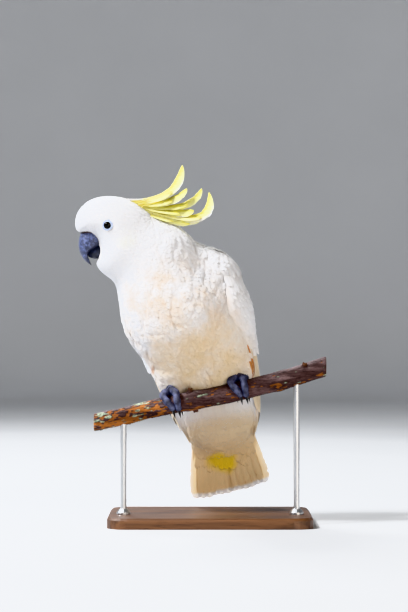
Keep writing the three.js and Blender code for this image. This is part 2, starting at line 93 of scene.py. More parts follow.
def curve_at(points, t):
    """The place and the direction at t (0 to 1) on the Catmull-Rom curve through points: each span is the
    cubic whose end slopes are half the chord between the neighbours of its ends."""
    points = np.asarray(points, float)
    knots = np.concatenate([2 * points[:1] - points[1:2], points, 2 * points[-1:] - points[-2:-1]])
    x = np.clip(t, 0, 1) * (len(points) - 1)
    i = np.minimum(np.floor(x).astype(int), len(points) - 2)
    f = (x - i)[..., None]
    a, b, c, d = (knots[i + k] for k in range(4))
    one, two, three = c - a, 2 * a - 5 * b + 4 * c - d, 3 * b - a - 3 * c + d
    place = 0.5 * (2 * b + one * f + two * f**2 + three * f**3)
    return place, unit(one + 2 * two * f + 3 * three * f**2)


def along(values, t):
    """The value at t of the smooth curve through evenly spaced values."""
    return curve_at(np.array(values, float)[:, None], np.asarray(t, float))[0][..., 0]


def halved(inside, low, high, rounds):
    """Where inside(x) stops being true between low and high, by halving the stretch."""
    for _ in range(rounds):
        middle = (low + high) / 2
        within = inside(middle)
        low, high = np.where(within, middle, low), np.where(within, high, middle)
    return low


def frame_of(axis, left):
    """Rows: left, dorsal and axial directions at right angles, for a part's axis and left side."""
    axial = unit(vec(*axis))
    side = vec(*left)
    side = unit(side - axial * (side @ axial))
    return np.array([side, np.cross(axial, side), axial])


def waves(points, size, seed, count=18):
    """A soft random field from about -1 to 1: the mean of sines of point . direction / size, for
    seeded directions."""
    own = np.random.default_rng(seed)
    turns = own.normal(size=(count, 3)) * TURN / size
    starts = own.uniform(0, TURN, count)
    return np.sin(points @ turns.T + starts).sum(-1) / math.sqrt(count / 2)


# ---- the body's form -----------------------------------------------------------------------------

BODY_YAW = math.radians(18)
HEAD_TURN = math.radians(8)
TRUNK = frame_of((-0.257, -0.424, 0.868), (math.cos(BODY_YAW), -math.sin(BODY_YAW), 0))
TAIL_END = frame_of((-0.15, -0.36, 0.92), (0.98, 0, 0.16))
NECK = frame_of((-0.7, -0.2, 0.68), (0.3, -0.9, 0.1))
HEAD = frame_of((0, 0, 1), (math.sin(HEAD_TURN), -math.cos(HEAD_TURN), 0))
HEAD_CENTRE = vec(-122, -44, 388)

# Each rounded mass: its frame, its centre, and its radii to the left, to the back and along its axis.
MASSES = [
    (TRUNK, (-20, 0, 240), (73, 52, 92)),  # trunk
    (TRUNK, (-51, -37, 266), (63, 42, 62)),  # breast
    (TRUNK, (-70, -36, 306), (44, 38, 40)),  # crop
    (TRUNK, (-6, 12, 196), (56, 38, 42)),  # belly
    (TAIL_END, (13, 48, 138), (48, 19, 52)),  # vent and tail coverts
    (TRUNK, (-12, 1, 314), (55, 44, 48)),  # mantle
    (NECK, (-68, -30, 342), (46, 52, 50)),  # neck
    (HEAD, (-120, -44, 389), (30, 44, 32)),  # cranium
    (HEAD, (-141, -46, 391), (24, 28, 26)),  # brow
    (HEAD, (-112, -44, 358), (31, 30, 28)),  # cheek
    (HEAD, (-125, -45, 344), (16, 17, 17)),  # chin
    (TRUNK, (32, -8, 208), (19, 19, 28)),  # left thigh
    (TRUNK, (-46, -10, 191), (19, 19, 28)),  # right thigh
]
BITE_CENTRE = vec(-165.6, -50, 354.5)  # the hollow that the bill sits in
BITE_RADII = vec(24.5, 26)  # to the back and upwards
BLEND = 9.0
BITE_BLEND = 2.5
SPINE = [(16, 46, 134), (-2, 16, 196), (-28, -14, 262), (-62, -28, 328), (-106, -42, 374), (-144, -46, 395)]
CAP = 0.16
FARTHEST = 160.0  # a length that passes the body's surface from anywhere on its spine
SIDEWAYS = vec(1, 0.15, 0.35)
FACE_COAT = 0.7
BODY_COAT = 2.4


def head_point(forward, left, up):
    """A point by its distances forward, to the left of, and above the middle of the head."""
    forward, left, up = np.broadcast_arrays(*(np.asarray(x, float)[..., None] for x in (forward, left, up)))
    return HEAD_CENTRE - HEAD[1] * forward + HEAD[0] * left + HEAD[2] * up


BILL_BASE = head_point(30, 0, -26)


def outside(points, masses):
    """Roughly how far points are outside each mass: with k the length of the point's own coordinates over
    the radii and g that over the squared radii, k (k - 1) / g."""
    axes, centres, radii = (np.array([mass[i] for mass in masses], float) for i in range(3))
    own = np.einsum("mij,...mj->...mi", axes, points[..., None, :] - centres)
    near = size_of(own / radii)
    return near * (near - 1) / (size_of(own / radii**2) + 1e-9)


def from_bill(points):
    """The distance from the bill's base."""
    return size_of(points - BILL_BASE)


def coat_depth(points):
    """The plumage's depth: thin round the bill, full on the body."""
    return mix(FACE_COAT, BODY_COAT, smooth(8, 150, from_bill(points)))


def in_bite(points):
    """Roughly how far points are inside the hollow for the bill: an oval seen from the side, that widens with
    the square of the distance to either side, so that the plumage is rounded off round the bill."""
    own = (points - BITE_CENTRE) @ HEAD.T
    radii = BITE_RADII * (0.9 + 0.0006 * own[..., :1] ** 2)
    near = size_of(own[..., 1:] / radii)
    return near * (1 - near) / (size_of(own[..., 1:] / radii**2) + 1e-9)


def body_field(points):
    """Roughly how far points are outside the plumage: -blend log(sum exp(-distance / blend)) over the
    masses, kept out of the bite in the same soft way."""
    away = outside(points, MASSES)
    whole = -BLEND * np.logaddexp.reduce(-away / BLEND, axis=-1)
    return BITE_BLEND * np.logaddexp(whole / BITE_BLEND, in_bite(points) / BITE_BLEND)


def body_rays(share, angle):
    """The spine point that a ray leaves and its direction: square to the spine, or fanned over its ends."""
    start, ahead = curve_at(SPINE, (share - CAP) / (1 - 2 * CAP))
    side = unit(SIDEWAYS - ahead * dot(SIDEWAYS, ahead))
    over_end = np.clip((share - 1 + CAP) / CAP, 0, 1)
    lean = np.where(share < CAP, share / CAP - 1, over_end)[..., None] * math.pi / 2
    round_it = side * np.cos(angle)[..., None] + np.cross(ahead, side) * np.sin(angle)[..., None]
    return start, round_it * np.cos(lean) + ahead * np.sin(lean)


def body_at(share, angle):
    """The skin, a coat's depth inside the plumage, along the ray at a share and an angle."""
    start, ray = body_rays(share, angle)

    def inside(reach):
        points = start + ray * reach[..., None]
        return body_field(points) + coat_depth(points) < 0

    return start + ray * halved(inside, np.zeros(share.shape), FARTHEST, 17)[..., None]


def slope_of(points, reach=0.4):
    """The body field's slope by differences along X, Y and Z."""
    steps = np.eye(3) * reach
    ahead = body_field(points[..., None, :] + steps)
    behind = body_field(points[..., None, :] - steps)
    return (ahead - behind) / (2 * reach)


def settle(points, level, rounds=2):
    """Points moved straight up or down the field's slope until the field is level there, and the slope."""
    for _ in range(rounds):
        slope = slope_of(points)
        error = (body_field(points) - level)[..., None]
        points = points - slope * error / np.maximum(dot(slope, slope), 0.2)
    return points, unit(slope)


# ---- the wings' and the tail's form ----------------------------------------------------------------

BACK_LINE = [(-36, -6, 322), (-18, 4, 244), (2, 29, 174), (19, 60, 98)]
# From the shoulder to the tip: the degrees round from the breast of a wing's edges, and its radii.
WING_FRONT = [80, 60, 60, 64, 74, 92]
WING_BACK = [122, 167, 175, 176, 172, 140]
WING_REACH = [62, 79, 77, 72, 65, 52]
WING_HEIGHT = [46, 60, 57, 50, 38, 24]
WING_TIP = {1: 0.98, -1: 0.92}  # the right wing is held a little higher
TAIL_ROOT = vec(9, 48, 158)
TAIL_LENGTH = 139.0
TAIL_HALF = (36.0, 53.5)


def wing_axes(side, s):
    """The middle line, and the wing's outward and backward directions, at a share of the wing's length."""
    middle, down = curve_at(BACK_LINE, s)
    left = unit(mix(TRUNK[0], TAIL_END[0], np.asarray(s)[..., None]))
    left = unit(left - down * dot(left, down))
    return middle, left * side, np.cross(left, down)


def wing_at(side, s, t, lift):
    """A folded wing: an ellipse round the back line, whose radii and whose front and back angles change with
    the share s of the length; t runs from the front edge to the inner edge; lift is the height over it."""
    s, t, lift = np.broadcast_arrays(s, t, lift)
    middle, out, dorsal = wing_axes(side, s)
    angle = np.radians(mix(along(WING_FRONT, s), along(WING_BACK, s), t))
    reach = along(WING_REACH, s) + lift
    height = along(WING_HEIGHT, s) + lift
    return middle + out * (reach * np.sin(angle))[..., None] - dorsal * (height * np.cos(angle))[..., None]


def under_wing(points):
    """True where a point of the body is well under a folded wing."""
    covered = np.zeros(points.shape[:-1], bool)
    shares = np.linspace(0, 1, 80)
    middle, down = curve_at(BACK_LINE, shares)
    level = np.abs(np.einsum("...sj,sj->...s", points[..., None, :] - middle, down)).argmin(-1)
    s = shares[level]
    for side in SIDES.values():
        centre, out, dorsal = wing_axes(side, s)
        across = dot(points - centre, out)[..., 0] / along(WING_REACH, s)
        behind = dot(points - centre, dorsal)[..., 0] / along(WING_HEIGHT, s)
        first, last = along(WING_FRONT, s), along(WING_BACK, s)
        t = (np.degrees(np.arctan2(across, -behind)) - first) / (last - first)
        front = mix(0.12, -0.15, smooth(0.34, 0.42, s))
        covered |= (t > front) & (t < 0.9) & (s > 0.1) & (s < 0.8)
    return covered


def tail_at(a, b, lift):
    """The tail fan: a runs from root to end and b from the right edge (-1) to the left (1). Its half width
    grows as the root of a, its end is shorter towards the edges, and they droop by the square of b."""
    a, b, lift = np.broadcast_arrays(a, b, lift)
    half = mix(*TAIL_HALF, np.sqrt(np.clip(a, 0, 1)))
    length = TAIL_LENGTH * (1 - 0.05 * b**2 - 0.03 * b)
    off = [half * b, lift - 5 * b**2, -length * a]
    return TAIL_ROOT + sum(x[..., None] * axis for x, axis in zip(off, TAIL_END))


# ---- materials -------------------------------------------------------------------------------------


class Value:
    """A shader socket, with the arithmetic that adds its Math nodes."""

    def __init__(self, finish, socket):
        self.finish = finish
        self.socket = socket

    def __add__(self, other):
        return self.finish.maths("ADD", self, other)

    def __mul__(self, other):
        return self.finish.maths("MULTIPLY", self, other)

    __radd__ = __add__
    __rmul__ = __mul__

    def sine(self):
        return self.finish.maths("SINE", self)

    def size(self):
        return self.finish.maths("ABSOLUTE", self)

    def band(self, low, high):
        """0 at low and 1 at high, eased between them and level outside them."""
        settings = {"interpolation_type": "SMOOTHSTEP"}
        return self.finish.node("MapRange", settings, {"Value": self, "From Min": low, "From Max": high})


class Finish:
    """One material: a Principled shader whose same-everywhere values are set on its own sockets."""

    def __init__(self, name, **values):
        self.material = bpy.data.materials.new(name)
        self.material.use_nodes = True
        self.tree = self.material.node_tree
        self.shader = self.tree.nodes["Principled BSDF"]
        for socket, value in values.items():
            self.shader.inputs[socket.replace("_", " ")].default_value = value

    def node(self, kind, settings=(), inputs=(), output=0):
        """Adds a node of a kind, makes its settings, then fills its inputs with numbers, colours or links."""
        made = self.tree.nodes.new("ShaderNode" + kind)
        for key, value in dict(settings).items():
            setattr(made, key, value)
        for key, value in dict(inputs).items():
            if isinstance(value, Value):
                self.tree.links.new(value.socket, made.inputs[key])
            else:
                made.inputs[key].default_value = value
        return Value(self, made.outputs[output])

    def maths(self, operation, *values):
        return self.node("Math", {"operation": operation}, dict(enumerate(values)))

    def vectors(self, operation, *values, output=0):
        return self.node("VectorMath", {"operation": operation}, dict(enumerate(values)), output)

    def mixed(self, factor, a, b, blend="MIX"):
        """Colour a, or b where the factor is 1."""
        return self.node("Mix", {"data_type": "RGBA", "blend_type": blend}, {0: factor, 6: a, 7: b}, output=2)

    def layers(self, colour, *coats):
        """The colour with each coat's colour laid over it as far as its mask says."""
        for mask, over in coats:
            colour = self.mixed(mask, colour, over)
        return colour

    def place(self, scale=(1, 1, 1), centre=(0, 0, 0)):
        """The point on the model in metres, from a centre, scaled."""
        moved = self.vectors("SUBTRACT", self.node("TexCoord", output=3), centre)
        return self.node("Mapping", inputs={"Vector": moved, "Scale": scale})

    def axes(self, vector):
        split = self.node("SeparateXYZ", inputs={0: vector})
        return [Value(self, socket) for socket in split.socket.node.outputs]

    def vane(self):
        """Places across and down a feather, in metres from its shaft and its root."""
        return self.node("UVMap", {"uv_map": "vane"})

    def near(self, centre, far, close):
        """0 at the far distance in metres from a point in millimetres, and 1 at the close one."""
        point = self.node("TexCoord", output=3)
        return self.vectors("DISTANCE", point, tuple(centre * MM), output=1).band(far, close)

    def noise(self, scale, detail=4.0, roughness=0.5, distortion=0.0, on=None):
        """Noise of so many lumps a metre, or with three scales one that is drawn out along an axis."""
        if np.ndim(scale):
            on, scale = self.place(scale), 1.0
        inputs = {"Vector": on or self.place(), "Scale": scale, "Detail": detail, "Roughness": roughness}
        return self.node("TexNoise", inputs=inputs | {"Distortion": distortion})

    def cells(self, scale):
        return self.node("TexVoronoi", inputs={"Vector": self.place(), "Scale": scale})

    def attribute(self, name):
        return self.node("Attribute", {"attribute_name": name}, output=2)

    def done(self, colour, height=None, strength=0.0, depth=0.0, roughness=None):
        """Links the colour, a bump of a height and its depth in metres, and a roughness that varies."""
        links = {"Base Color": colour, "Roughness": roughness}
        if height:
            inputs = {"Height": height, "Strength": strength, "Distance": depth}
            links["Normal"] = self.node("Bump", inputs=inputs)
        for socket, value in links.items():
            if value:
                self.tree.links.new(value.socket, self.shader.inputs[socket])
        return self.material


def paint(red, green, blue):
    """A linear colour from screen values of 0 to 255."""
    linear = [c / 3294.6 if c < 11 else ((c / 255 + 0.055) / 1.055) ** 2.4 for c in (red, green, blue)]
    return (*linear, 1.0)


WHITE = paint(240, 240, 243)
# WARM, PEACH, BEIGE and TAN serve mostly as painted warm shade on the breast, belly and under the tail and
# wings; WARM also tints single feathers at random
WARM = paint(240, 223, 203)
PEACH = paint(240, 212, 186)
BEIGE = paint(230, 202, 156)
TAN = paint(246, 210, 156)
# orange-brown: painted shade between the flight feathers, and the colour of the tail's shafts
ORANGE_BROWN = paint(222, 144, 44)
LEMON = paint(255, 255, 176)
SULPHUR = paint(255, 248, 104)
GOLD = paint(252, 214, 36)
# painted shade under the coat: multiplied over the feathers' covered roots and over the skin
UNDER_COAT_SHADE = paint(236, 224, 210)

EARS = [head_point(-12, side * 27, -20) for side in SIDES.values()]
CROWN_END = head_point(-62, 0, 12)
# centres of painted warm shade: on the breast, low on the belly, under the tail and over its middle
BREAST = vec(-45, -75, 262)
BELLY = vec(-5, -55, 195)
UNDERTAIL = tail_at(0.45, 0.0, -14.0)
TAIL_MIDDLE = tail_at(0.75, 0.0, -4.0)
YELLOW_PATCH = (tail_at(0.63, -0.13, -6.0), (0.025, 0.05, 0.017))  # its centre, and radii in metres
# a spot of orange-brown painted shade in the gap where the right wing's edge meets the flank: its centre, and
# radii in metres
FLANK_GAP_SHADE = (vec(-74, -5, 203), (0.004, 0.035, 0.012))


def in_front(finish):
    """1 on faces that look forwards and 0 on those that look back."""
    return (finish.axes(finish.node("NewGeometry", output=1))[1] * -1).band(-0.2, 0.4)


def ragged_patch(finish, centre, radii):
    """1 in a soft ragged oval round a point."""
    from_it = finish.place(tuple(1 / each for each in radii), tuple(centre * MM))
    away = finish.vectors("LENGTH", from_it, output=1)
    return (away + finish.noise((60, 60, 12), 3) * 1.2).band(1.75, 1.05)


def plumage_colour(finish):
    """The colours that skin and coat share: white, with warm painted shade in soft patches low on the breast
    and round the legs, a breath of lemon on the ear coverts, an orange-brown spot of painted shade where the
    right wing meets the flank, cream to tan painted shade beneath the tail, and a yellow patch over its
    middle."""
    patches = finish.noise(26, 4, 0.65).band(0.3, 0.7)
    # painted shade: warm and peach patches low on the breast
    warm = finish.near(BREAST, 0.11, 0.035) * patches * (0.6 + 0.4 * finish.noise(90, 2).band(0.35, 0.75))
    # painted shade: warm to beige low on the belly and round the legs
    belly = finish.near(BELLY, 0.1, 0.03)
    front = in_front(finish)
    return finish.layers(
        WHITE,
        (warm, WARM),
        (warm * patches * 0.5, PEACH),
        (belly * (0.7 + patches * 0.3), WARM),
        (belly * (0.25 + patches * 0.6), BEIGE),
        # painted shade: cream and tan on the faces under the tail that look forwards
        (finish.near(UNDERTAIL, 0.09, 0.045) * front * 0.85, BEIGE),
        (finish.near(TAIL_MIDDLE, 0.075, 0.03) * front * 0.8, TAN),
        (ragged_patch(finish, *YELLOW_PATCH) * front * 0.9, GOLD),
        # painted shade: orange-brown in the gap between the right wing and the flank
        (ragged_patch(finish, *FLANK_GAP_SHADE) * 0.7, ORANGE_BROWN),
        ((finish.near(EARS[0], 0.02, 0.004) + finish.near(EARS[1], 0.02, 0.004)) * patches * 0.35, LEMON),
    )


def feather_finish(name, colour_of):
    """A feather: its piece's own colour, darkened and warmed by painted shade towards the covered root and on
    the underside, each feather a little lighter or darker, with a fine chevron of barbs either side of the
    shaft."""
    soft = {"Subsurface_Weight": 0.3, "Subsurface_Radius": (0.006, 0.005, 0.004), "Subsurface_Scale": 1.0}
    soft |= {"Sheen_Weight": 0.12, "Sheen_Roughness": 0.5}
    finish = Finish(name, Roughness=0.62, Specular_IOR_Level=0.25, **soft)
    tone = finish.attribute("tone")
    # painted shade: a warm grey multiplied in towards the root, where the feathers above cover it
    covered = finish.attribute("along").band(0.85, 0.2)
    colour = finish.mixed(covered * 0.3, colour_of(finish), UNDER_COAT_SHADE, blend="MULTIPLY")
    colour = finish.mixed(tone.band(0.2, 1.3) * 0.12, colour, WARM, blend="MULTIPLY")
    shade = {0: colour, "Scale": 0.975 + tone * 0.025}
    colour = finish.node("VectorMath", {"operation": "SCALE"}, shade)
    vane = finish.vane()
    across, down, _ = finish.axes(vane)
    chevron = ((down * 6400 + across.size() * 8000) + finish.noise(300, on=vane) * 4).sine()
    shaft = across.size().band(0.0005, 0.0001)
    return finish.done(colour, chevron * 0.5 + shaft * 2, 0.35, 0.0002)


def plumage_skin():
    """The skin under the coat, in the coat's colours but matt and darkened by painted shade, as it shows only
    in shade.
    """
    finish = Finish("plumage_skin", Roughness=0.8, Specular_IOR_Level=0.15)
    # painted shade multiplied over the coat's colours
    colour = finish.mixed(0.3, plumage_colour(finish), UNDER_COAT_SHADE, blend="MULTIPLY")
    return finish.done(colour, finish.noise(900), 0.3, 0.0006)


# ---- meshes ----------------------------------------------------------------------------------------


def grid_faces(rows, columns):
    """Quads between neighbouring rows of a grid of points, the last column joined to the first. They face
    outwards where the columns run anticlockwise as seen from the last row."""
    row = np.arange(rows - 1)[:, None] * columns
    first = np.arange(columns)[None]
    second = (first + 1) % columns
    quads = [row + first, row + second, row + columns + second, row + columns + first]
    return np.stack(quads, -1).reshape(-1, 4)


def part_of(points, faces, finish=0, sharp=None, **data):
    """Points with their faces and the values on them."""
    points = points.reshape(-1, 3)
    edge = np.zeros(len(points), bool) if sharp is None else sharp
    return {"points": points, "faces": faces, "finish": finish, "sharp": edge, "values": data}


def tube_part(rings, **data):
    """A closed form from rings of points carried along a path, with a flat face over each end."""
    rows, columns = rings.shape[:2]
    last = (rows - 1) * columns
    ends = [np.arange(columns)[None, ::-1], last + np.arange(columns)[None]]
    return part_of(rings, [grid_faces(rows, columns), *ends], **data)


def make_piece(name, parts, finishes, slot, stands_for=()):
    """Joins the parts into one object in metres, smooth but for the marked edges, and, unless it is the
    floor, hangs it under the root's empty and hides the model's nodes it stands for. Values of one number a
    point become attributes and those of two numbers become UV maps. A piece without a slot is the floor."""
    counts = np.cumsum([0] + [len(part["points"]) for part in parts])
    points = np.concatenate([part["points"] for part in parts]) * MM
    faces = [(start + each, part["finish"]) for start, part in zip(counts, parts) for each in part["faces"]]
    corners = np.concatenate([each.ravel() for each, _ in faces]).astype(np.int32)
    sizes = np.concatenate([np.full(len(each), each.shape[1]) for each, _ in faces])
    owners = np.concatenate([np.full(len(each), finish) for each, finish in faces]).astype(np.int32)
    mesh = bpy.data.meshes.new(name)
    mesh.vertices.add(len(points))
    mesh.vertices.foreach_set("co", points.astype(np.float32).ravel())
    mesh.loops.add(len(corners))
    mesh.loops.foreach_set("vertex_index", corners)
    mesh.polygons.add(len(sizes))
    mesh.polygons.foreach_set("loop_start", (np.cumsum(sizes) - sizes).astype(np.int32))
    mesh.polygons.foreach_set("material_index", owners)
    mesh.update(calc_edges=True)
    mesh.polygons.foreach_set("use_smooth", np.ones(len(sizes), bool))
    sharp = np.concatenate([part["sharp"] for part in parts])
    if sharp.any():
        ends = np.empty(2 * len(mesh.edges), np.int32)
        mesh.edges.foreach_get("vertices", ends)
        edge = mesh.attributes.new("sharp_edge", "BOOLEAN", "EDGE")
        edge.data.foreach_set("value", sharp[ends.reshape(-1, 2)].all(1))
    for key in parts[0]["values"]:
        value = np.concatenate([part["values"][key] for part in parts]).astype(np.float32)
        if value.ndim == 2:
            mesh.uv_layers.new(name=key).data.foreach_set("uv", value[corners].ravel())
        else:
            mesh.attributes.new(key, "FLOAT", "POINT").data.foreach_set("value", value)
    for finish in finishes:
        mesh.materials.append(finish)
    piece = bpy.data.objects.new(name, mesh)
    bpy.context.scene.collection.objects.link(piece)
    if not slot:
        return
    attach(piece, "root")
    if stands_for:
        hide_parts(*stands_for)


# ---- feathers --------------------------------------------------------------------------------------

PATCH = 0.0015  # half the width of a feather's place on the bake map
BAKE_LOW = vec(-0.5, -1.5)  # the bake map's corner, in the two parameters of the surface under the feathers
BAKE_SPAN = vec(1.8, 3.1)
STRAND_COLUMNS = 3
STRAND_THICKNESS = 0.3
NUDGE = 0.002  # the step in a surface's parameter that its stretch is measured over


def section(columns):
    """Places across a feather in order round its edge, from rim to rim over the top and back beneath, and
    which side each is on: 1 on top, -1 beneath and 0 on a rim."""
    over = np.linspace(1, -1, columns)
    across = np.concatenate([over, over[-2:0:-1]])
    side = np.concatenate([[0], np.ones(columns - 2), [0], -np.ones(columns - 2)])
    return across, side


def outline(x, widest=0.6, root=0.3, point=0.5, least=0.1):
    """A feather's half width over its greatest: eased from the root to the widest place, then
    (1 - u^2)^point for the share u of the way from there to the tip."""
    u = np.clip((x - widest) / (1 - widest), 0, 1)
    ahead = np.maximum((1 - u * u) ** point, least)
    return np.where(x < widest, mix(root, 1, smooth(0, widest, x)), ahead)


def vane_parts(points, x, across, half, length, tone, bake, finish=0):
    """Closed feathers from points (feather, row, place round the section, 3)."""
    shape = count, rows, ring = points.shape[:3]
    ends = np.stack([np.arange(ring)[::-1], (rows - 1) * ring + np.arange(ring)])
    starts = (np.arange(count) * rows * ring)[:, None, None]
    faces = [(grid_faces(rows, ring) + starts).reshape(-1, 4), (ends + starts).reshape(-1, ring)]
    x = np.broadcast_to(x[None, :, None], shape)
    u = np.broadcast_to(across, shape)
    vane = np.stack([u * half[..., None], x * length[:, None, None]], -1) * MM
    patch = bake[:, None, None] + np.stack([u, 2 * x - 1], -1) * PATCH
    data = {"along": x.ravel(), "tone": np.broadcast_to(tone[:, None, None], shape).ravel()}
    data |= {"OFBake": patch.reshape(-1, 2), "vane": vane.reshape(-1, 2)}
    return part_of(points, faces, finish, sharp=(np.abs(u) == 1).ravel(), **data)


def nearest_flow(points):
    """The lie of the coat: back along the spine, the mean of its directions weighted by nearness, and on the
    head away from the bill."""
    place, ahead = curve_at(SPINE, np.linspace(0, 1, 40))
    off = ((points[..., None, :] - place) ** 2).sum(-1)
    near = np.exp(-(off - off.min(-1, keepdims=True)) / (2 * 22.0**2))
    back = -unit((near[..., None] * ahead).sum(-2))
    away = from_bill(points)[..., None]
    return unit(mix(unit(points - BILL_BASE), back, smooth(14, 62, away)))


def relief(points):
    """The plumage's soft lobes, none on the face: low along the lines where a field of waves is 0, and high
    between them."""
    full = smooth(45, 160, from_bill(points)) * mix(0.4, 1, smooth(15, -25, points[..., 1]))
    tall = points * vec(1, 1, 0.7)
    lobes = smooth(0, 0.7, np.abs(waves(tall, 58, 21))) + 0.5 * smooth(0, 0.7, np.abs(waves(tall, 31, 22)))
    return full * (1.9 * lobes - 2.1)


def grow(roots, length, half, rows, camber, rise, jitter, pull):
    """Feathers that leave the skin at their roots and come up through the coat as they run along the body.
    Each midline is traced in short straight steps along the lie of the coat, and after each step it is moved
    to its level: from the coat's depth under the surface up to rise over it, in proportion to x."""
    count = len(roots)
    x = 1 - (1 - np.linspace(0, 1, rows)) ** 1.5
    across, side = section(STRAND_COLUMNS)

    def lie(place, up):
        """The lie of the coat, flat on the surface and turned aside by the jitter."""
        ahead = nearest_flow(place)
        ahead = unit(ahead - up * dot(ahead, up))
        return unit(ahead + np.cross(up, ahead) * jitter[:, None])

    place, up = settle(roots, -coat_depth(roots), 1)
    ahead = lie(place, up)
    traced = [(place, up, np.cross(up, ahead))]
    for row in range(1, rows):
        place = place + ahead * (length * (x[row] - x[row - 1]))[:, None]
        level = mix(-0.85 * coat_depth(place), rise + relief(place), 1 - (1 - x[row]) ** 1.7)
        settled, up = settle(place, level)
        free = (body_field(place) > level)[:, None]
        place = np.where(free, mix(place, settled, pull[:, None]), settled)
        ahead = unit(ahead + lie(place, up) * 0.6)
        ahead = unit(ahead - up * dot(ahead, up) * 0.85)
        traced.append((place, up, np.cross(up, ahead)))
    midline, ups, sides = (np.stack(a, 1) for a in zip(*traced))
    edge = 1 - 0.2 * chance.uniform(0, 1, (count, rows)) ** 2 * smooth(0.3, 0.9, x)
    wide = half[:, None] * outline(x) * edge
    height = side * (STRAND_THICKNESS / 2) * (1 - 0.5 * across**2)
    drop = camber[:, None, None] * wide[..., None] * across**2
    points = midline[:, :, None] + sides[:, :, None] * (wide[..., None] * across)[..., None]
    return points + ups[:, :, None] * (height - drop)[..., None], x, across, wide


def laid(surface, roots, tips, half, base, rows=9, columns=4, camber=0.08, thickness=0.35, finish=0,
         rise=1.5, point=0.5, widest=0.6, ragged=0.0):
    """Feathers laid on a surface of two parameters and a height. A midline runs straight from root to tip in
    the parameters; a point at u across it is u times the outline's half width to the side; the height climbs
    by rise from root to tip over the feather's own base height."""
    count = len(roots)
    x = 1 - (1 - np.linspace(0, 1, rows)) ** 1.35
    across, side = section(columns)
    middle = roots[:, None] + (tips - roots)[:, None] * x[None, :, None]
    s, t = middle[..., 0], middle[..., 1]
    here = surface(s, t, 0.0)
    beside = surface(s, t + NUDGE, 0.0) - here
    above = surface(s, t, 1.0) - here
    length = size_of(np.diff(here, axis=1)).sum(1)
    ahead = here[:, -1] - here[:, 0]
    hand = np.sign((np.cross(beside, above)[:, rows // 2] * ahead).sum())
    across = across * hand
    edge = 1 - ragged * chance.uniform(0, 1, (count, rows)) ** 3 * smooth(0.3, 0.9, x)
    wide = np.reshape(half, (-1, 1)) * outline(x, widest=widest, point=point) * edge
    sideways = wide[..., None] * across / (size_of(beside) / NUDGE)[..., None]
    height = side * (thickness / 2) * (1 - 0.5 * across**2) - camber * wide[..., None] * across**2
    lift = np.reshape(base, (-1, 1, 1)) + (rise * (x - 1))[None, :, None] + height
    points = surface(s[..., None], t[..., None] + sideways, lift)
    bake = (mix(roots, tips, 0.3) - BAKE_LOW) / BAKE_SPAN
    return vane_parts(points, x, across, wide, length, chance.uniform(-1, 1, count), bake, finish)


def fanned(surface, roots, tips, half, base, aside, **shape):
    """Three narrow feathers from each root, fanned to both sides, the middle one longest and uppermost."""
    rows = []
    for fan in (-1, 1, 0):
        ends = tips + vec(-aside[0] * abs(fan), aside[1] * fan)
        rows.append(laid(surface, roots, ends, half, base - 0.15 * abs(fan), columns=3, **shape))
    return rows


def row_of(count, first, last, jitter=0.0):
    """Places in even steps from first to last, each moved by a little."""
    share = np.linspace(0, 1, count)[:, None]
    return mix(vec(*first), vec(*last), share) + chance.uniform(-1, 1, (count, 2)) * jitter


# ---- the skin and the coat ---------------------------------------------------------------------------

EYE_FORWARD = 13.8
EYE_UP = -1.6
EYE_RING = 6.6
# Each coat piece: its first and last share of the body, and the strands of a feather.
COAT = {
    "coat_belly": (0.09, 0.27, 4),
    "coat_breast": (0.27, 0.4, 4),
    "coat_shoulders": (0.4, 0.5, 4),
    "coat_neck": (0.5, 0.62, 3),
    "coat_nape": (0.62, 0.68, 3),
    "coat_throat": (0.68, 0.75, 2),
    "coat_cheeks": (0.75, 0.8, 2),
    "coat_crown": (0.8, 0.88, 2),
    "coat_face": (0.88, 0.988, 2),
}
SPACING = [1.7, 1.9, 2.3, 3.1, 4.4, 5.8, 6.8, 7.4, 7.8, 8.2, 8.4]
SPACING_REACH = 250.0  # the distance from the bill at which the last spacing holds
ROW_POINTS = 97  # places round the body where a row of roots is measured


def eye_socket(side):
    """Where the line out from the head's middle at the eye's height leaves the plumage."""

    def inside(out):
        return body_field(head_point(EYE_FORWARD, side * out, EYE_UP)) < 0

    return head_point(EYE_FORWARD, side * halved(inside, 0.0, 60.0, 20), EYE_UP)


SOCKETS = {name: eye_socket(side) for name, side in SIDES.items()}


def spacing_at(points):
    """How far apart roots are: the curve through the spacings, by distance from the bill."""
    return along(SPACING, np.clip(from_bill(points) / SPACING_REACH, 0, 1))


def coat_roots(low, high):
    """Roots in rows round the body between two shares. A row follows the last by the wanted spacing where
    the body is longest there, its roots are a spacing apart, and some are left out where rows crowd."""
    turn = np.linspace(0, TURN, ROW_POINTS)
    share = low
    places = []
    tiny = 0.003
    due_before = np.zeros(ROW_POINTS)
    while share < high:
        ring = body_at(np.full(ROW_POINTS, share), turn)
        step = size_of(body_at(np.full(ROW_POINTS, share + tiny), turn) - ring) / tiny
        gap = spacing_at(ring)
        stride = (gap / step).min()
        arc = size_of(np.diff(ring, axis=0)) * 2 / (gap[1:] + gap[:-1])
        total = np.concatenate([[0], np.cumsum(arc)])
        count = max(3, round(total[-1]))
        spot = (np.arange(count) + chance.uniform(-0.3, 0.3, count) + 0.5 * (len(places) % 2)) / count % 1
        angle = np.interp(spot * total[-1], total, turn)
        due, before = np.minimum(step * stride / gap * 1.6, 1), due_before
        due_before = before + due
        shift = 0.5 * (np.arange(count) % 2)
        now, then = np.interp(angle, turn, due_before), np.interp(angle, turn, before)
        keep = np.floor(now + shift) > np.floor(then + shift)
        moved = share + chance.uniform(-0.3, 0.3, count) * stride
        places.append(np.stack([np.clip(moved, low, high), angle], -1)[keep])
        share += stride
    return np.concatenate(places)


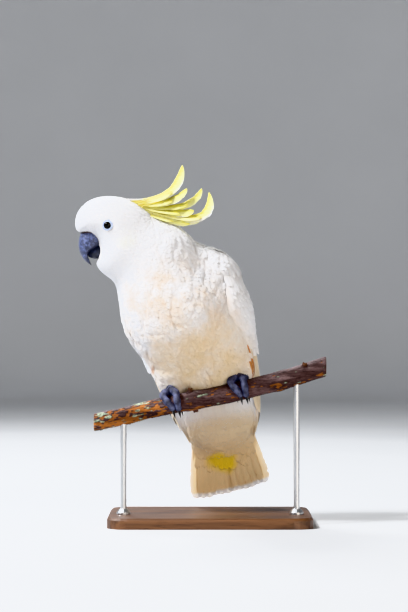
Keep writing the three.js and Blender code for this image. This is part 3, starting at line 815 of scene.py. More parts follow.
def bare(points):
    """True where no feather grows: under a wing, behind the bill, and on the eye rings."""
    lateral, _, up = np.moveaxis((points - HEAD_CENTRE) @ HEAD.T, -1, 0)
    hollow = in_bite(points) > -coat_depth(points) - 0.6
    none = under_wing(points) | hollow & (np.abs(lateral) < 10.5) & (up < -10) & (up > -46)
    for socket in SOCKETS.values():
        none |= size_of(points - socket) < EYE_RING - 0.4
    return none


def coat(name, low, high, strands):
    """The feathers rooted between two shares of the body. A feather is some narrow vanes fanned from one
    root, each a little longer or shorter at random, so that its end is soft."""
    places = coat_roots(low, high)
    roots = body_at(places[:, 0], places[:, 1])
    grown = ~bare(roots)
    feathers = grown.sum()
    places, roots = (np.repeat(a[grown], strands, axis=0) for a in (places, roots))
    count = len(roots)
    gap = spacing_at(roots)
    fan = np.tile(np.arange(strands) - (strands - 1) / 2, feathers)
    length = gap * np.repeat(chance.uniform(3.8, 4.2, feathers), strands) * chance.uniform(0.82, 1.05, count)
    for socket in SOCKETS.values():
        away = size_of(roots - socket)
        ahead = (unit(socket - roots) * nearest_flow(roots)).sum(-1)
        length = np.where((ahead > 0.3) & (away < 16), np.minimum(length, away - EYE_RING + 0.8), length)
    length = np.maximum(length, 1.2) * mix(0.75, 1, smooth(0.1, 0.25, places[:, 0]))
    half = gap * mix(0.66, 0.54, smooth(2.5, 7, gap)) * chance.uniform(0.85, 1.15, count)
    rise = 0.05 + 0.14 * chance.uniform(0, 1, count)
    astray = np.repeat(chance.normal(0, 0.08, feathers), strands)
    jitter = astray + fan * 0.12 * chance.uniform(0.7, 1.3, count)
    pull = mix(0.6, 1.0, smooth(0.05, 0.2, places[:, 0]))
    camber = chance.uniform(0.03, 0.1, count)
    grown_vanes = grow(roots, length, half, 8 if high < 0.55 else 7, camber, rise, jitter, pull)
    bake = np.stack([places[:, 1] / TURN, places[:, 0]], -1) * 0.98 + 0.01
    tone = np.repeat(chance.uniform(-1, 1, feathers), strands) + chance.uniform(-0.3, 0.3, count)
    make_piece(name, [vane_parts(*grown_vanes, length, tone, bake)], [COAT_FINISH], "plumage")


def skin_of_body():
    """The whole body, neck and head in one surface: a ray at each share and angle, out to the skin."""
    rows, columns = 230, 170
    shares = np.linspace(0.004, 0.996, rows)
    return tube_part(body_at(*np.meshgrid(shares, round_turn(columns), indexing="ij")))


# ---- wings and tail --------------------------------------------------------------------------------

# Each row of wing feathers: how many, root and tip of the outermost and of the innermost as shares of the
# wing's length and width, their half widths, and their heights over the wing's bed.
LONG_ROWS = {
    "primaries": (10, (0.36, 0.0), (0.34, 0.5), (0.84, 0.03), (1.0, 0.56), (7.5, 9.5), (-1.8, 0.0)),
    "secondaries": (12, (0.3, 0.06), (0.3, 0.8), (0.72, 0.05), (0.9, 0.86), (9, 12), (0.3, 2.6)),
    "tertials": (5, (0.2, 0.68), (0.18, 0.95), (0.68, 0.74), (0.8, 0.955), (12, 10), (2.8, 4.0)),
}
COVERT_ROWS = 11
BED_START = {1: 0.02, -1: 0.1}  # where along its length each wing's bed begins
ROOT_SUNK = {1: 0.0, -1: 13.0}  # how far the first coverts of each wing go down to meet the body
FLANK_END = {1: 0.22, -1: 0.3}  # where the feathers over each wing's front edge leave off


def wing_surface(side):
    """The wing's bed, bulging in the middle of its width, as a function of share, width and height."""
    tip = WING_TIP[side]

    def surface(s, t, lift):
        return wing_at(side, s * tip, t, lift + 1.5 * (1 - (2 * t - 1) ** 2) - 5.5)

    return surface


def wing(side, name):
    """A bed of elliptical section under the feathers, the long feathers in their rows, the coverts over
    them, and the outermost feathers along the front edge."""
    surface = wing_surface(side)
    shares = np.linspace(BED_START[side], 0.74, 60)
    s, t = np.meshgrid(shares, np.linspace(0.04, 0.96, 34), indexing="ij")
    thick = 1.2 * np.sqrt(np.clip(1 - (2 * t - 1) ** 2, 0, 1)) + 0.2
    ring = np.concatenate([surface(s, t, -2.5), surface(s, t, -2.5 - thick)[:, ::-1]], 1)
    make_piece(f"wing_bed_{name}", [tube_part(ring[:, ::-side])], [SKIN_FINISH], "plumage")

    parts = []
    for count, root, inner_root, tip, inner_tip, half, height in LONG_ROWS.values():
        roots = row_of(count, root, inner_root, 0.004)
        tips = row_of(count, tip, inner_tip, 0.008)
        share = np.linspace(0, 1, count)
        parts.append(laid(surface, roots, tips, mix(*half, share), mix(*height, share), rows=26, columns=5,
                          rise=1.2, ragged=0.12, widest=0.78, point=0.42, camber=0.11, thickness=0.45))
    long_node, node = f"flight_feathers_{name}", f"wing_{name}"
    make_piece(f"wing_flights_{name}", parts, [FLIGHT_FINISH], "flight_feathers", [long_node])
    coverts = wing_coverts(surface, ROOT_SUNK[side])
    make_piece(f"wing_coverts_{name}", coverts, [COAT_FINISH], "plumage", [node])
    make_piece(f"wing_edge_{name}", wing_edge(side), [EDGE_FINISH, FLIGHT_FINISH], "flight_feathers")


def wing_coverts(surface, sunk):
    """Rows from the shoulder down, each feather longer, wider and lower than those of the row above it. A row
    bows towards the tip in the middle, as half a sine, and every other row is set over by half a feather.
    The roots of the first rows are sunk towards the body."""
    parts = []
    for row in range(COVERT_ROWS):
        share = row / (COVERT_ROWS - 1)
        count = round(mix(19, 12, share))
        t = (np.arange(count) + 0.5 * (row % 2)) / (count - 0.5) * 0.99 - 0.02
        t = t + chance.uniform(-0.15, 0.15, count) / count
        bow = np.sin(math.pi * np.clip(t, 0, 1)) * mix(0.02, 0.05, share) - 0.05 * share * t
        root = mix(0.0, 0.27, share) + bow + chance.uniform(-0.008, 0.008, count)
        long = mix(0.1, 0.225, share**1.2) * chance.uniform(0.94, 1.06, count)
        roots = np.stack([root, t], -1)
        tips = np.stack([root + long, t + chance.uniform(-0.012, 0.012, count)], -1)
        base = mix(8.4, 4.3, share) + 0.2 * (np.arange(count) % 2) + chance.uniform(-0.15, 0.15, count)
        half = mix(5.0, 9.8, share) * chance.uniform(0.95, 1.05, count)
        rise = mix(1.7, 2.6, share) + sunk * smooth(0.4, 0, share)
        parts.append(laid(surface, roots, tips, half, base, rows=12, columns=5, rise=rise,
                          ragged=0.1, camber=0.09, thickness=0.3, point=0.55))
    return parts


def table_of(values, low, high):
    """A function that reads a grid of values between two corners of its parameters, mixed linearly."""
    last = np.array(values.shape) - 1

    def read(u, v):
        place = [np.clip((x - a) / (b - a) * n, 0, n) for x, a, b, n in zip((u, v), low, high, last)]
        i, j = (np.minimum(np.floor(x).astype(int), n - 1) for x, n in zip(place, last))
        f, g = place[0] - i, place[1] - j
        return mix(mix(values[i, j], values[i + 1, j], f), mix(values[i, j + 1], values[i + 1, j + 1], f), g)

    return read


def body_height(surface, low, high, shape, reach=(-45.0, 45.0), fall=None):
    """How high the body's surface stands over a surface, as a table over its two parameters. With a fall, the
    height never drops faster than that along the first parameter."""
    u, v = np.meshgrid(*(np.linspace(a, b, n) for a, b, n in zip(low, high, shape)), indexing="ij")
    under = halved(lambda lift: body_field(surface(u, v, lift)) < 0, np.full(shape, reach[0]), reach[1], 14)
    if fall:
        under = np.maximum.accumulate(under + fall * u, axis=0) - fall * u
    return table_of(under, low, high)


def raised(bed, body, top, blend):
    """The bed raised to the body or to a top, whichever is higher, softly joined: blend log(exp(body / blend)
    + exp(top / blend))."""

    def surface(s, t, lift):
        return bed(s, t, blend * np.logaddexp(body(s, t) / blend, top(s, t) / blend) + lift)

    return surface


def body_beside(side):
    """A wing's bed, and the body's height over it and past its front edge."""
    bed = wing_surface(side)
    return bed, body_height(bed, (0.0, -0.6), (1.0, 1.5), (50, 60))


def wing_edge(side):
    """The outermost flight feathers in a stack along the wing's front edge, each a step further in and
    forwards than the one outside it, so that their webs show from in front."""
    surface = raised(*body_beside(side), lambda s, t: -2.0, 2)
    parts = []
    for k in range(7):
        roots = vec(0.34, 0.1 - 0.05 * k)[None]
        tips = vec(0.95 - 0.02 * k, 0.06 - 0.03 * k)[None]
        finish = 0 if 0 < k < 5 else 1
        parts.append(laid(surface, roots, tips, 5.0, vec(-1.6 - 2.0 * k), rows=24, columns=5, finish=finish,
                          rise=-1.2 - 2.0 * k, camber=0.04, thickness=0.45, ragged=0.08, widest=0.75))
    return parts


def flanks(side, name):
    """Soft feathers that leave the breast and lie over the wing's front edge, and those of the shoulder."""
    surface = raised(*body_beside(side), lambda s, t: mix(-30.0, 6.2, smooth(-0.16, 0.1, t)), 2.5)
    parts = []
    for row in range(5):
        place = -0.3 + 0.065 * row
        count = 26
        last = mix(0.5, FLANK_END[side], row / 4)
        roots = row_of(count, (0.0, place), (last, place + 0.02), 0.01)
        tips = roots + vec(0.12, 0.11) + chance.uniform(-1, 1, roots.shape) * vec(0.012, 0.02)
        base = -0.9 + 0.1 * (5 - row) + chance.uniform(0, 0.5, count)
        parts += fanned(surface, roots, tips, 3.6, base, (0.008, 0.035), rows=8, rise=2.2, camber=0.06,
                        ragged=0.2)
    make_piece(f"flank_feathers_{name}", parts, [COAT_FINISH], "plumage")


def scapulars(side, name):
    """Soft feathers that leave the back and lie over the wing's root and its back edge, in rows that go down
    the body, every other row set over by half a feather. The wing under them fades out towards its root and
    past its back edge."""

    def top(s, t):
        return mix(-30.0, 8.0, smooth(-0.06, 0.07, s) * smooth(1.25, 0.95, t))

    bed = wing_surface(side)
    surface = raised(bed, body_height(bed, (0.0, -0.3), (0.8, 1.6), (60, 60)), top, 2.5)
    parts = []
    for row, start in enumerate(np.arange(0.0, 0.5, 0.032)):
        t = np.arange(mix(0.02, 0.95, smooth(0.0, 0.1, start)), 1.36, 0.1) + 0.05 * (row % 2)
        count = len(t)
        roots = np.stack([np.full(count, start + 0.015), t], -1)
        roots = roots + chance.uniform(-1, 1, (count, 2)) * vec(0.015, 0.02)
        outward = mix(0.0, 0.07, smooth(0.8, 1.2, t))
        tips = roots + np.stack([chance.uniform(0.115, 0.14, count), -outward], -1)
        base = 0.5 + chance.uniform(0, 0.4, count)
        parts += fanned(surface, roots, tips, 4.0, base, (0.01, 0.03), rows=9, rise=2.4, camber=0.06,
                        ragged=0.15, point=0.6)
    make_piece(f"scapulars_{name}", parts, [COAT_FINISH], "plumage")


def bridge(first, second):
    """The straight surface between two curves, each a function of the same share, with heights off it along
    the cross product of its two slopes."""

    def surface(s, v, lift):
        s, v, lift = np.broadcast_arrays(s, v, lift)
        one, two = first(s), second(s)
        slope = mix(first(s + 0.01), second(s + 0.01), v[..., None]) - mix(one, two, v[..., None])
        normal = unit(np.cross(slope, two - one))
        normal = normal * -np.sign(normal[..., 1:2])
        return mix(one, two, v[..., None]) + normal * lift[..., None]

    return surface


def beside_tail(face):
    """The surface over the tail on one face: the tail's own or the body's round it, whichever is further
    out, softly joined. Face is 1 behind and -1 in front, and heights grow outwards."""

    def flat(a, b, lift):
        return tail_at(a, b, face * lift)

    body = body_height(flat, (-0.25, -1.6), (1.0, 1.6), (60, 60), (0.0, 90.0), fall=75.0)
    return raised(flat, lambda a, b: body(a, b) - 1.4, lambda a, b: -0.4, 4)


def beside_vent(side, name):
    """Soft feathers that close the gap between a wing's front edge and the coverts beneath the tail."""
    covert = beside_tail(-1)

    def edge(s):
        return wing_at(side, s * WING_TIP[side], -0.02, -11.0)

    def inner(s):
        a = along([-0.36, -0.21, -0.06, 0.12, 0.3, 0.46], (s - 0.55) / 0.45)
        return covert(a, side * 0.86, -1.5)

    surface = bridge(edge, inner)
    parts = []
    for row in range(7):
        count = 9
        roots = row_of(count, (0.5 + 0.055 * row, -0.08), (0.5 + 0.055 * row, 1.08), 0.012)
        tips = roots + vec(0.16, 0.02) + chance.uniform(-1, 1, roots.shape) * vec(0.015, 0.03)
        base = 1.0 - 0.12 * row + chance.uniform(0, 0.3, count)
        parts.append(laid(surface, roots, tips, 4.6, base, rows=9, rise=1.2, ragged=0.2, point=0.6))
    make_piece(f"vent_feathers_{name}", parts, [COAT_FINISH], "plumage")


def tail():
    """The fan's twelve long feathers side by side, each lower than the one nearer the middle."""
    count = 12
    place = (np.arange(count) + 0.5) / count * 2 - 1
    roots = np.stack([np.full(count, 0.02), place * 0.75], -1)
    tips = np.stack([0.99 - 0.022 * chance.uniform(0, 1, count), place * 0.955], -1)
    aside = np.abs(place)
    feathers = laid(tail_at, roots, tips, mix(10.5, 9.5, aside), 1.6 - 3.4 * aside, rows=34, columns=5,
                    camber=0.05, thickness=0.5, rise=0.6, point=0.32, widest=0.86, ragged=0.22)
    make_piece("tail_feathers", [feathers], [TAIL_FINISH], "flight_feathers", ["tail"])


def tail_coverts(name, face, ends, long):
    """Rows of soft coverts over one face of the tail, the row with the furthest tips laid first."""
    surface = beside_tail(face)
    parts = []
    for row, end in enumerate(ends):
        count = 11 + row
        spread = mix(0.78, 1.25, (row / len(ends)) ** 1.5)
        across = np.linspace(-spread, spread, count)[:, None] + chance.uniform(-0.03, 0.03, (count, 1))
        reach = chance.uniform(-0.035, 0.035, (count, 1)) - 0.12 * across**2
        tips = np.concatenate([end + reach, across], 1)
        roots = np.concatenate([end + reach - long, across * 0.92], 1)
        base = 0.3 + 0.3 * row + chance.uniform(0, 0.25, count)
        parts += fanned(surface, roots, tips, 5.4, base, (0.012, 0.05), rows=13, rise=1.3, camber=0.07,
                        ragged=0.2, point=0.7)
    make_piece(name, parts, [COAT_FINISH], "plumage")


# ---- crest -------------------------------------------------------------------------------------------

# Each plume: its root, bend and tip as distances forward and up from the head's middle, how far its tip
# splays to the left, and its half width.
CREST = [
    ((-10, 29), (-84, 25), (-86.5, 77), 1, 6.2),
    ((-14, 28), (-76, 20), (-92, 47), 5, 5.8),
    ((-20, 26), (-100, 10), (-112.5, 47.5), -4, 5.4),
    ((-24, 25), (-86, 8), (-101, 19), 5, 5.8),
    ((-26, 24), (-134, -16), (-121.5, 42.5), 0, 6.6),
    ((-30, 21), (-88, -2), (-112, 8), -5, 6),
    ((-32, 18), (-72, 3), (-96, 1), 4, 5.6),
    ((-30, 17), (-64, 8), (-84, 0), -2, 5.6),
]
# Round each plume's root: how far aside, how much of its curve, and how sharply folded each long one is,
# and how far aside the short ones are.
LONG_PLUMES = [(-2.4, 0.93, 52), (2.2, 1.0, 60), (0.2, 0.86, 44)]
SHORT_PLUMES = [-6.5, 6.0, -3.0, 3.4]
CROWN_ROWS = 9
PLUME_RAGGED = 0.18


def plume(root, bend, tip, aside, splay, reach, half, fold, rows=26, columns=5):
    """A crest feather along the curve (1-r)^2 root + 2r(1-r) bend + r^2 tip for r from 0 to reach, its two
    vanes folded up from the shaft by an angle so that its section is a V."""
    x = np.linspace(0, 1, rows)
    r = (x * reach)[:, None]
    line = (1 - r) ** 2 * vec(*root) + 2 * r * (1 - r) * vec(*bend) + r**2 * vec(*tip)
    lateral = aside * (1 - 0.5 * r[:, 0]) + splay * (0.8 * r * (1 - r) + r**2)[:, 0]
    middle = head_point(line[:, 0], lateral, line[:, 1])
    ahead = unit(np.gradient(middle, axis=0))
    up = unit(np.cross(ahead, HEAD[0]))
    side = np.cross(up, ahead)
    across, face = section(columns)
    edge = 1 - PLUME_RAGGED * chance.uniform(0, 1, rows) ** 2 * smooth(0.3, 0.8, x)
    wide = half * outline(x, widest=0.7, root=0.75, point=0.75, least=0.05) * edge
    flat = wide[:, None] * across * math.cos(fold)
    height = wide[:, None] * (np.abs(across) ** 1.25 - 0.5) * math.sin(fold) + face * 0.25 * (1 - across**2)
    points = middle[:, None] + side[:, None] * flat[..., None] + up[:, None] * height[..., None]
    length = size_of(np.diff(middle, axis=0)).sum()
    bake = vec(0.5 + lateral[0] / 120, 0.5 + line[0, 0] / 160)
    tone = chance.uniform(-1, 1, 1)
    return vane_parts(points[None], x, across, wide[None], vec(length), tone, bake[None])


def crest():
    """For each plume some long and some short feathers round its root, and over the crown rows of low
    feathers, yellow at the sides and white between."""
    long, short, crown = [], [], []
    for root, bend, tip, splay, half in CREST:
        for aside, reach, fold in LONG_PLUMES:
            turn = math.radians(fold + chance.uniform(-5, 5))
            long.append(plume(root, bend, tip, aside, splay + aside * 0.8, reach, half * 1.95, turn))
        for aside in SHORT_PLUMES:
            reach = chance.uniform(0.42, 0.68)
            turn = math.radians(chance.uniform(25, 50))
            short.append(plume(root, bend, tip, aside, splay + aside, reach, half * 1.6, turn, rows=18))
    for share in np.linspace(0, 1, CROWN_ROWS):
        for aside in np.linspace(-1, 1, 9) * mix(8, 12.5, share):
            sunk = -0.022 * aside**2
            start = vec(mix(8, -28, share) + chance.uniform(-2, 2), mix(28.0, 24.5, share) + sunk)
            end = vec(mix(-26, -59, share) + chance.uniform(-3, 3), mix(32.6, 35.2, share) + sunk * 1.2)
            bend = mix(start, end, 0.5) + vec(0, mix(4.2, 2.2, share))
            yellow = np.abs(aside) > mix(9, 5, share) + chance.uniform(-1, 1)
            feather = plume(start, bend, end, aside, aside * 0.1, 1.0, 4.4, -0.25, rows=14, columns=4)
            (short if yellow else crown).append(feather)
    make_piece("crest_plumes", long + short, [PLUME_FINISH], "crest", ["crest"])
    make_piece("crown_feathers", crown, [CROWN_FINISH], "plumage")


# ---- bill, eyes and feet -------------------------------------------------------------------------------

# The upper bill's lower edge, forward and up from the head's middle: the mouth, then inside the hook.
CUTTING_EDGE = [(12, -7), (15, -20), (24, -29), (33, -34), (35.5, -40), (33.6, -45), (31, -51.6)]
SCOOP = [(6, -28), (17, -32.5), (27, -36.5), (35.2, -38.6)]  # the lower bill's middle line
CULMEN_TURN = (148, 250)
CULMEN_CENTRE = (21.5, -24.5)
CULMEN_RADII = (-26, 29.8)
BILL_HALF = 12.8
EYE_RADIUS = 5.8
LID = 4.8


def upper_bill():
    """Ovals between the culmen, an arc of an ellipse, and the cutting edge, narrowing to the hook. They
    swell in a low rim at the base, for the cere, and have a blunt keel in front."""
    rows, columns = 70, 60
    t = np.linspace(0, 1, rows)
    turn = np.radians(mix(*CULMEN_TURN, t))
    front = np.stack([np.cos(turn), np.sin(turn)], -1) * CULMEN_RADII + CULMEN_CENTRE
    edge = curve_at(CUTTING_EDGE, t)[0]
    middle, out = (front + edge) / 2, (front - edge) / 2
    half = BILL_HALF * np.maximum(1 - t**1.8, 0.004) ** 0.6
    angle = round_turn(columns)
    cere = 0.05 * hump(t, 0.035, 0.022)[:, None] * np.maximum(np.cos(angle), -0.2)
    keel = 1 - 0.14 * np.cos(angle) ** 3
    ahead = middle[:, None] + out[:, None] * (np.cos(angle) * (1 + cere))[..., None]
    either_side = np.abs((angle + math.pi) % TURN - math.pi)
    nostril = hump(t[:, None], 0.045, 0.02) * hump(either_side, 0.62, 0.16)
    lateral = -half[:, None] * np.sin(angle) * keel * (1 + cere - 0.1 * nostril)
    rings = head_point(ahead[..., 0], lateral, ahead[..., 1])
    data = {"dark": nostril.ravel(), "front": np.tile(np.cos(angle), rows)}
    return tube_part(rings, base=np.repeat(1 - t, columns), **data)


def swept(line, radii, towards, columns, squash=1.0):
    """Rings round a line: radius times cos to the side that towards gives, and sin across that."""
    ahead = unit(np.gradient(line, axis=0))
    side = unit(towards - ahead * dot(towards, ahead))
    other = np.cross(ahead, side)
    angle = round_turn(columns)
    radii = radii if np.ndim(radii) == 2 else radii[:, None]
    wide = (np.cos(angle) * radii)[..., None] * side[:, None]
    return line[:, None] + wide + (np.sin(angle) * radii * squash)[..., None] * other[:, None]


def lower_bill():
    """A short scoop behind the hook: a tube along a curve, flattened, with a blunt chisel end."""
    rows, columns = 40, 40
    t = np.linspace(0, 1, rows)
    path = curve_at(SCOOP, t)[0]
    radii = along([7.6, 8.8, 8.8, 8.2, 6.6, 3.0], t)
    rings = swept(head_point(path[:, 0], 0 * t, path[:, 1]), radii, HEAD[0], columns, squash=0.96)
    alike = np.ones(rows * columns)
    # the lower bill's dark horn, deepened by the painted shade that front below 0 gives
    return tube_part(rings, dark=0.26 * alike, front=-0.7 * alike, base=np.repeat(0.7 - 0.3 * t, columns))


def turned(centre, axis, radius, height, columns, ripple=None):
    """A profile of radii and heights carried round an axis; ripple adds heights of its own."""
    other = unit(np.cross(axis, vec(0, 0, 1)))
    third = np.cross(axis, other)
    angle = round_turn(columns)
    round_it = np.cos(angle)[:, None] * other + np.sin(angle)[:, None] * third
    height = height[:, None] + (0 if ripple is None else ripple(angle))
    return centre + radius[:, None, None] * round_it + height[..., None] * axis


def eye(name):
    """An eyeball, and round it a bare ring with a raised lid, wrinkled by a few waves round the eye."""
    socket = SOCKETS[name]
    axis = unit(slope_of(socket[None]))[0]
    bulge = np.linspace(-0.3, math.pi / 2, 40)
    out, up = EYE_RADIUS * np.cos(bulge), EYE_RADIUS * np.sin(bulge)
    sunk = math.sqrt(EYE_RADIUS**2 - LID**2) - 0.7
    columns = 48
    ball = tube_part(turned(socket, axis, out, up - sunk, columns), off_axis=np.repeat(out, columns))
    make_piece(f"eyeball_{name}", [ball], [EYE_FINISH], "eye", [f"eye_{name}"])
    rows, columns = 30, 120
    t = np.linspace(0, 1, rows)
    radius = mix(LID - 0.25, EYE_RING + 0.7, t)
    height = 0.75 * hump(t, 0.14, 0.13) + 0.25 * hump(t, 0.5, 0.1) - 1.7 * t**2.5

    def ripple(angle):
        out = t[:, None]
        fine = 0.09 * np.sin(26 * angle) * np.sin(30 * out) + 0.06 * np.sin(11 * angle + 9 * out)
        return fine * smooth(0.05, 0.4, out)

    top = turned(socket, axis, radius, height, columns, ripple)
    below = turned(socket, axis, radius, height - 1.2, columns)
    faces = grid_faces(2 * rows + 1, columns)[:, ::-1] % (2 * rows * columns)
    return part_of(np.concatenate([top, below[::-1]]), [faces], finish=1)


GRIPS = {"left": (40, (34, -10, 208)), "right": (-47, (-46, -12, 190))}
# Each toe: forwards or back, how far aside it swings and ends, and how far round the perch it reaches.
TOES = [(1, -10, -2, 112), (1, 6, 5, 118), (-1, -9, -7, 96), (-1, 9, 8, 108)]
TOE_RADIUS = (5.0, 3.7)
CLAW_LENGTH = 15.0
PERCH_Y = -30.0
PERCH_HALF = 150.0
PERCH_RADIUS = 12.0


def perch_radius(x):
    """The branch's mean radius, which grows to the right."""
    return PERCH_RADIUS * (1 + 0.0004 * x)


def perch_point(x):
    """The middle of the perch: rising by 0.235 of x, with a slight sag and sway."""
    share = x / PERCH_HALF
    height = 165.5 + 0.235 * x + 3.2 * share**2 - 1.5 * np.sin(4 * share)
    return np.stack([x, PERCH_Y + 0 * share, height], -1)


def round_perch(x, angle, off):
    """A point off the perch's side, at an angle from its top towards the front."""
    radius = perch_radius(x) + 0.6 + off
    away = [-0.23 * np.cos(angle) * radius, -np.sin(angle) * radius, np.cos(angle) * radius]
    return perch_point(x) + np.stack(away, -1)


def pebbles(u, v):
    """Rounded scales in a staggered net: the root of |sin(u + v) sin(u - v)|."""
    return np.sqrt(np.abs(np.sin(u + v) * np.sin(u - v)))


def toe(grip, way, swing, end, reach):
    """A toe from the perch's top round its side, its radius swelling at the knuckles and rounded off at the
    end, with plates across its back and pebbled scales elsewhere."""
    rows, columns = 120, 48
    t = np.linspace(0, 1, rows)
    outward = swing * np.sin(np.minimum(t / 0.4, 1) * math.pi / 2)
    x = grip + np.where(t < 0.4, outward, mix(swing, end, smooth(0.4, 1, t)))
    off = mix(*TOE_RADIUS, t) + 0.5 * np.sin(math.pi * t)
    line = round_perch(x, np.radians(way * mix(-6, reach, t)), off)
    around = round_turn(columns)
    knuckles = 1 + 0.09 * np.cos(3 * TURN * t)
    round_end = np.sqrt(1 - (np.clip((t - 0.93) / 0.07, 0, 1) * 0.86) ** 2)
    radius = mix(*TOE_RADIUS, t) * knuckles * round_end
    back = smooth(0.62, 0.85, 0.5 + 0.5 * np.cos(around))
    plates = np.abs(np.sin(t * 40))[:, None] ** 0.4 * back
    grains = pebbles(t[:, None] * 58 + 0.8 * np.sin(around * 3 + 9 * t[:, None]), around * 6)
    scales = mix(grains, plates, 0.35 * back)
    rings = swept(line, radius[:, None] + (scales - 0.4) * 0.85, line - perch_point(x), columns)
    return tube_part(rings, scale=scales.ravel())


def claw_part(grip, way, _, end, reach):
    """A claw from a toe's end: a tapering tube that leaves it straight and curls in by the square of t."""
    rows, columns = 30, 20
    t = np.linspace(0, 1, rows)
    tip = round_perch(grip + end, math.radians(way * reach), TOE_RADIUS[1])
    before = round_perch(grip + end, math.radians(way * (reach - 14)), TOE_RADIUS[1] + 0.3)
    inwards = unit(perch_point(grip + end) - tip)
    line = tip + unit(tip - before) * (CLAW_LENGTH * t - 1)[:, None]
    line = line + inwards * (CLAW_LENGTH * (0.12 + 0.2 * t * t) - 1.2)[:, None]
    rings = swept(line, along([2.7, 2.5, 2.1, 1.5, 0.8, 0.12], t), -inwards, columns, squash=0.8)
    return tube_part(rings, base=np.repeat(1 - t, columns))


def shank(grip, thigh):
    """The scaled lower leg, a straight tube from the palm on the perch up into the thigh."""
    rows, columns = 80, 64
    t = np.linspace(0, 1, rows)
    palm = round_perch(grip, 0.0, 4.2)
    line = mix(palm, mix(palm, vec(*thigh), 0.9), t[:, None])
    scales = pebbles(t[:, None] * 24, round_turn(columns) * 6.5)
    radius = along([5.2, 6.6, 6.0, 5.6, 5.4], t)[:, None] + (scales - 0.3) * 0.6
    return tube_part(swept(line, radius, vec(1, 0, 0), columns), scale=scales.ravel())


def legs():
    """Each foot's toes and shank as one piece, and its claws as another."""
    for name, (grip, thigh) in GRIPS.items():
        parts = [toe(grip, *shape) for shape in TOES] + [shank(grip, thigh)]
        make_piece(f"foot_{name}_scaled", parts, [FOOT_FINISH], "foot_skin", [f"foot_{name}"])
        claws = [claw_part(grip, *shape) for shape in TOES]
        nodes = [f"claw_{name}_{k}" for k in (1, 2, 3, 4)]
        make_piece(f"claws_{name}", claws, [CLAW_FINISH], "claw", nodes)


# ---- perch ---------------------------------------------------------------------------------------------

# The broken twigs: place along the perch, angle round it, length and radius.
STUBS = [(-30, 1.9, 7, 3.0), (-22, -1.2, 4, 3.4), (118, 2.2, 6, 3.0)]


def branch_end(sign, edge, angle):
    """The cut end: rings that shrink from the branch's last one to its middle, with a low uneven bulge."""
    rows = 30
    share = np.linspace(1, 0.03, rows)[:, None]
    bulge = sign * (0.02 + 0.045 * np.sin(share * 40) + 0.27 * np.sin(share * math.pi) ** 2)
    across = share * edge
    middle = perch_point(sign * PERCH_HALF)
    face = middle + np.stack([bulge + 0 * across, across * np.cos(angle), across * np.sin(angle)], -1)
    face = face[:, ::-1] if sign < 0 else face
    rings = np.concatenate([face[:1] - vec(sign * 1.0, 0, 0), face])
    alike = np.ones(rings[..., 0].size)
    return tube_part(rings, bark=-alike, lichen=0 * alike)


def twig(place, turn, length, thick):
    """A broken side twig: a tapering tube with a ragged end."""
    rows, columns = 24, 28
    out = unit(vec(0.25, math.cos(turn), math.sin(turn)))
    t = np.linspace(0.5, 1, rows)
    line = perch_point(place) + out * ((PERCH_RADIUS + length) * t)[:, None]
    angle = round_turn(columns)
    taper = thick * along([1.9, 1.3, 1.05, 0.9], (t - 0.5) * 2)
    radius = taper[:, None] + 0.25 * np.sin(5 * angle + 20 * t[:, None])
    radius[-1] *= 0.75
    rings = swept(line, radius, vec(1, 0, 0), columns)
    rings[-3:] = rings[-3:] + out * (0.8 * np.sin(3 * angle) + 0.5 * np.sin(7 * angle + 1))[None, :, None]
    return tube_part(rings, bark=np.repeat(1.6 - 1.2 * t, columns), lichen=np.zeros(rows * columns))


def perch():
    """Rings along the branch. Its radius has knots and ridges, cracks along the grain, and flakes of bark
    that stand over the bare wood where a stretched noise is high; bark says which of them is there."""
    rows, columns = 440, 116
    x = np.linspace(-PERCH_HALF, PERCH_HALF, rows)[:, None]
    angle = round_turn(columns)[None]
    knots = 1.3 * hump(x, -22, 9) + 1.1 * hump(x, 92, 7)
    ridges = 0.35 * np.sin(3 * angle + x / 17) + 0.25 * np.sin(5 * angle - x / 11)
    on_it = np.stack(np.broadcast_arrays(x / 2.6, 12 * np.cos(angle), 12 * np.sin(angle)), -1)
    plates = waves(on_it, 11, 3, 40) + 0.5 * waves(on_it, 4.5, 4, 40)
    rough = smooth(-85, -40, x)
    bark = smooth(-0.2, 0.15, 0.8 * plates + 0.5 * np.sin(angle) + 1.6 * rough - 0.3)
    cracks = np.abs(waves(on_it, 5, 8, 30))
    fine = waves(on_it, 1.6, 5, 40)
    radius = perch_radius(x) - 0.5 + knots * 0.9 + ridges + 0.75 * bark + 0.13 * fine
    radius = radius - 0.35 * smooth(0.22, 0.0, cracks) * bark
    clumps = hump(x, -143, 10) + hump(x, -92, 15)
    lichen = smooth(0.3, 0.8, 0.8 * waves(on_it, 9, 12, 30) + clumps * 1.5 - 1.2)
    radius = radius + 0.5 * lichen * (0.6 + 0.5 * waves(on_it, 2.2, 13, 30))
    trim = np.clip((PERCH_HALF - np.abs(x)) / 1.2, 0, 1)
    radius = radius - 0.9 * (1 - np.sqrt(1 - (1 - trim) ** 2))
    round_it = np.stack([0 * radius, np.cos(angle) * radius, np.sin(angle) * radius], -1)
    rings = perch_point(x[:, 0])[:, None] + round_it
    branch = tube_part(rings, bark=bark.ravel(), lichen=lichen.ravel())
    ends = [branch_end(-1, radius[0], angle), branch_end(1, radius[-1], angle)]
    twigs = [twig(*stub) for stub in STUBS]
    make_piece("branch", [branch, *ends, *twigs], [BARK_FINISH], "bark", ["perch"])


# ---- finishes of the other pieces ------------------------------------------------------------------------


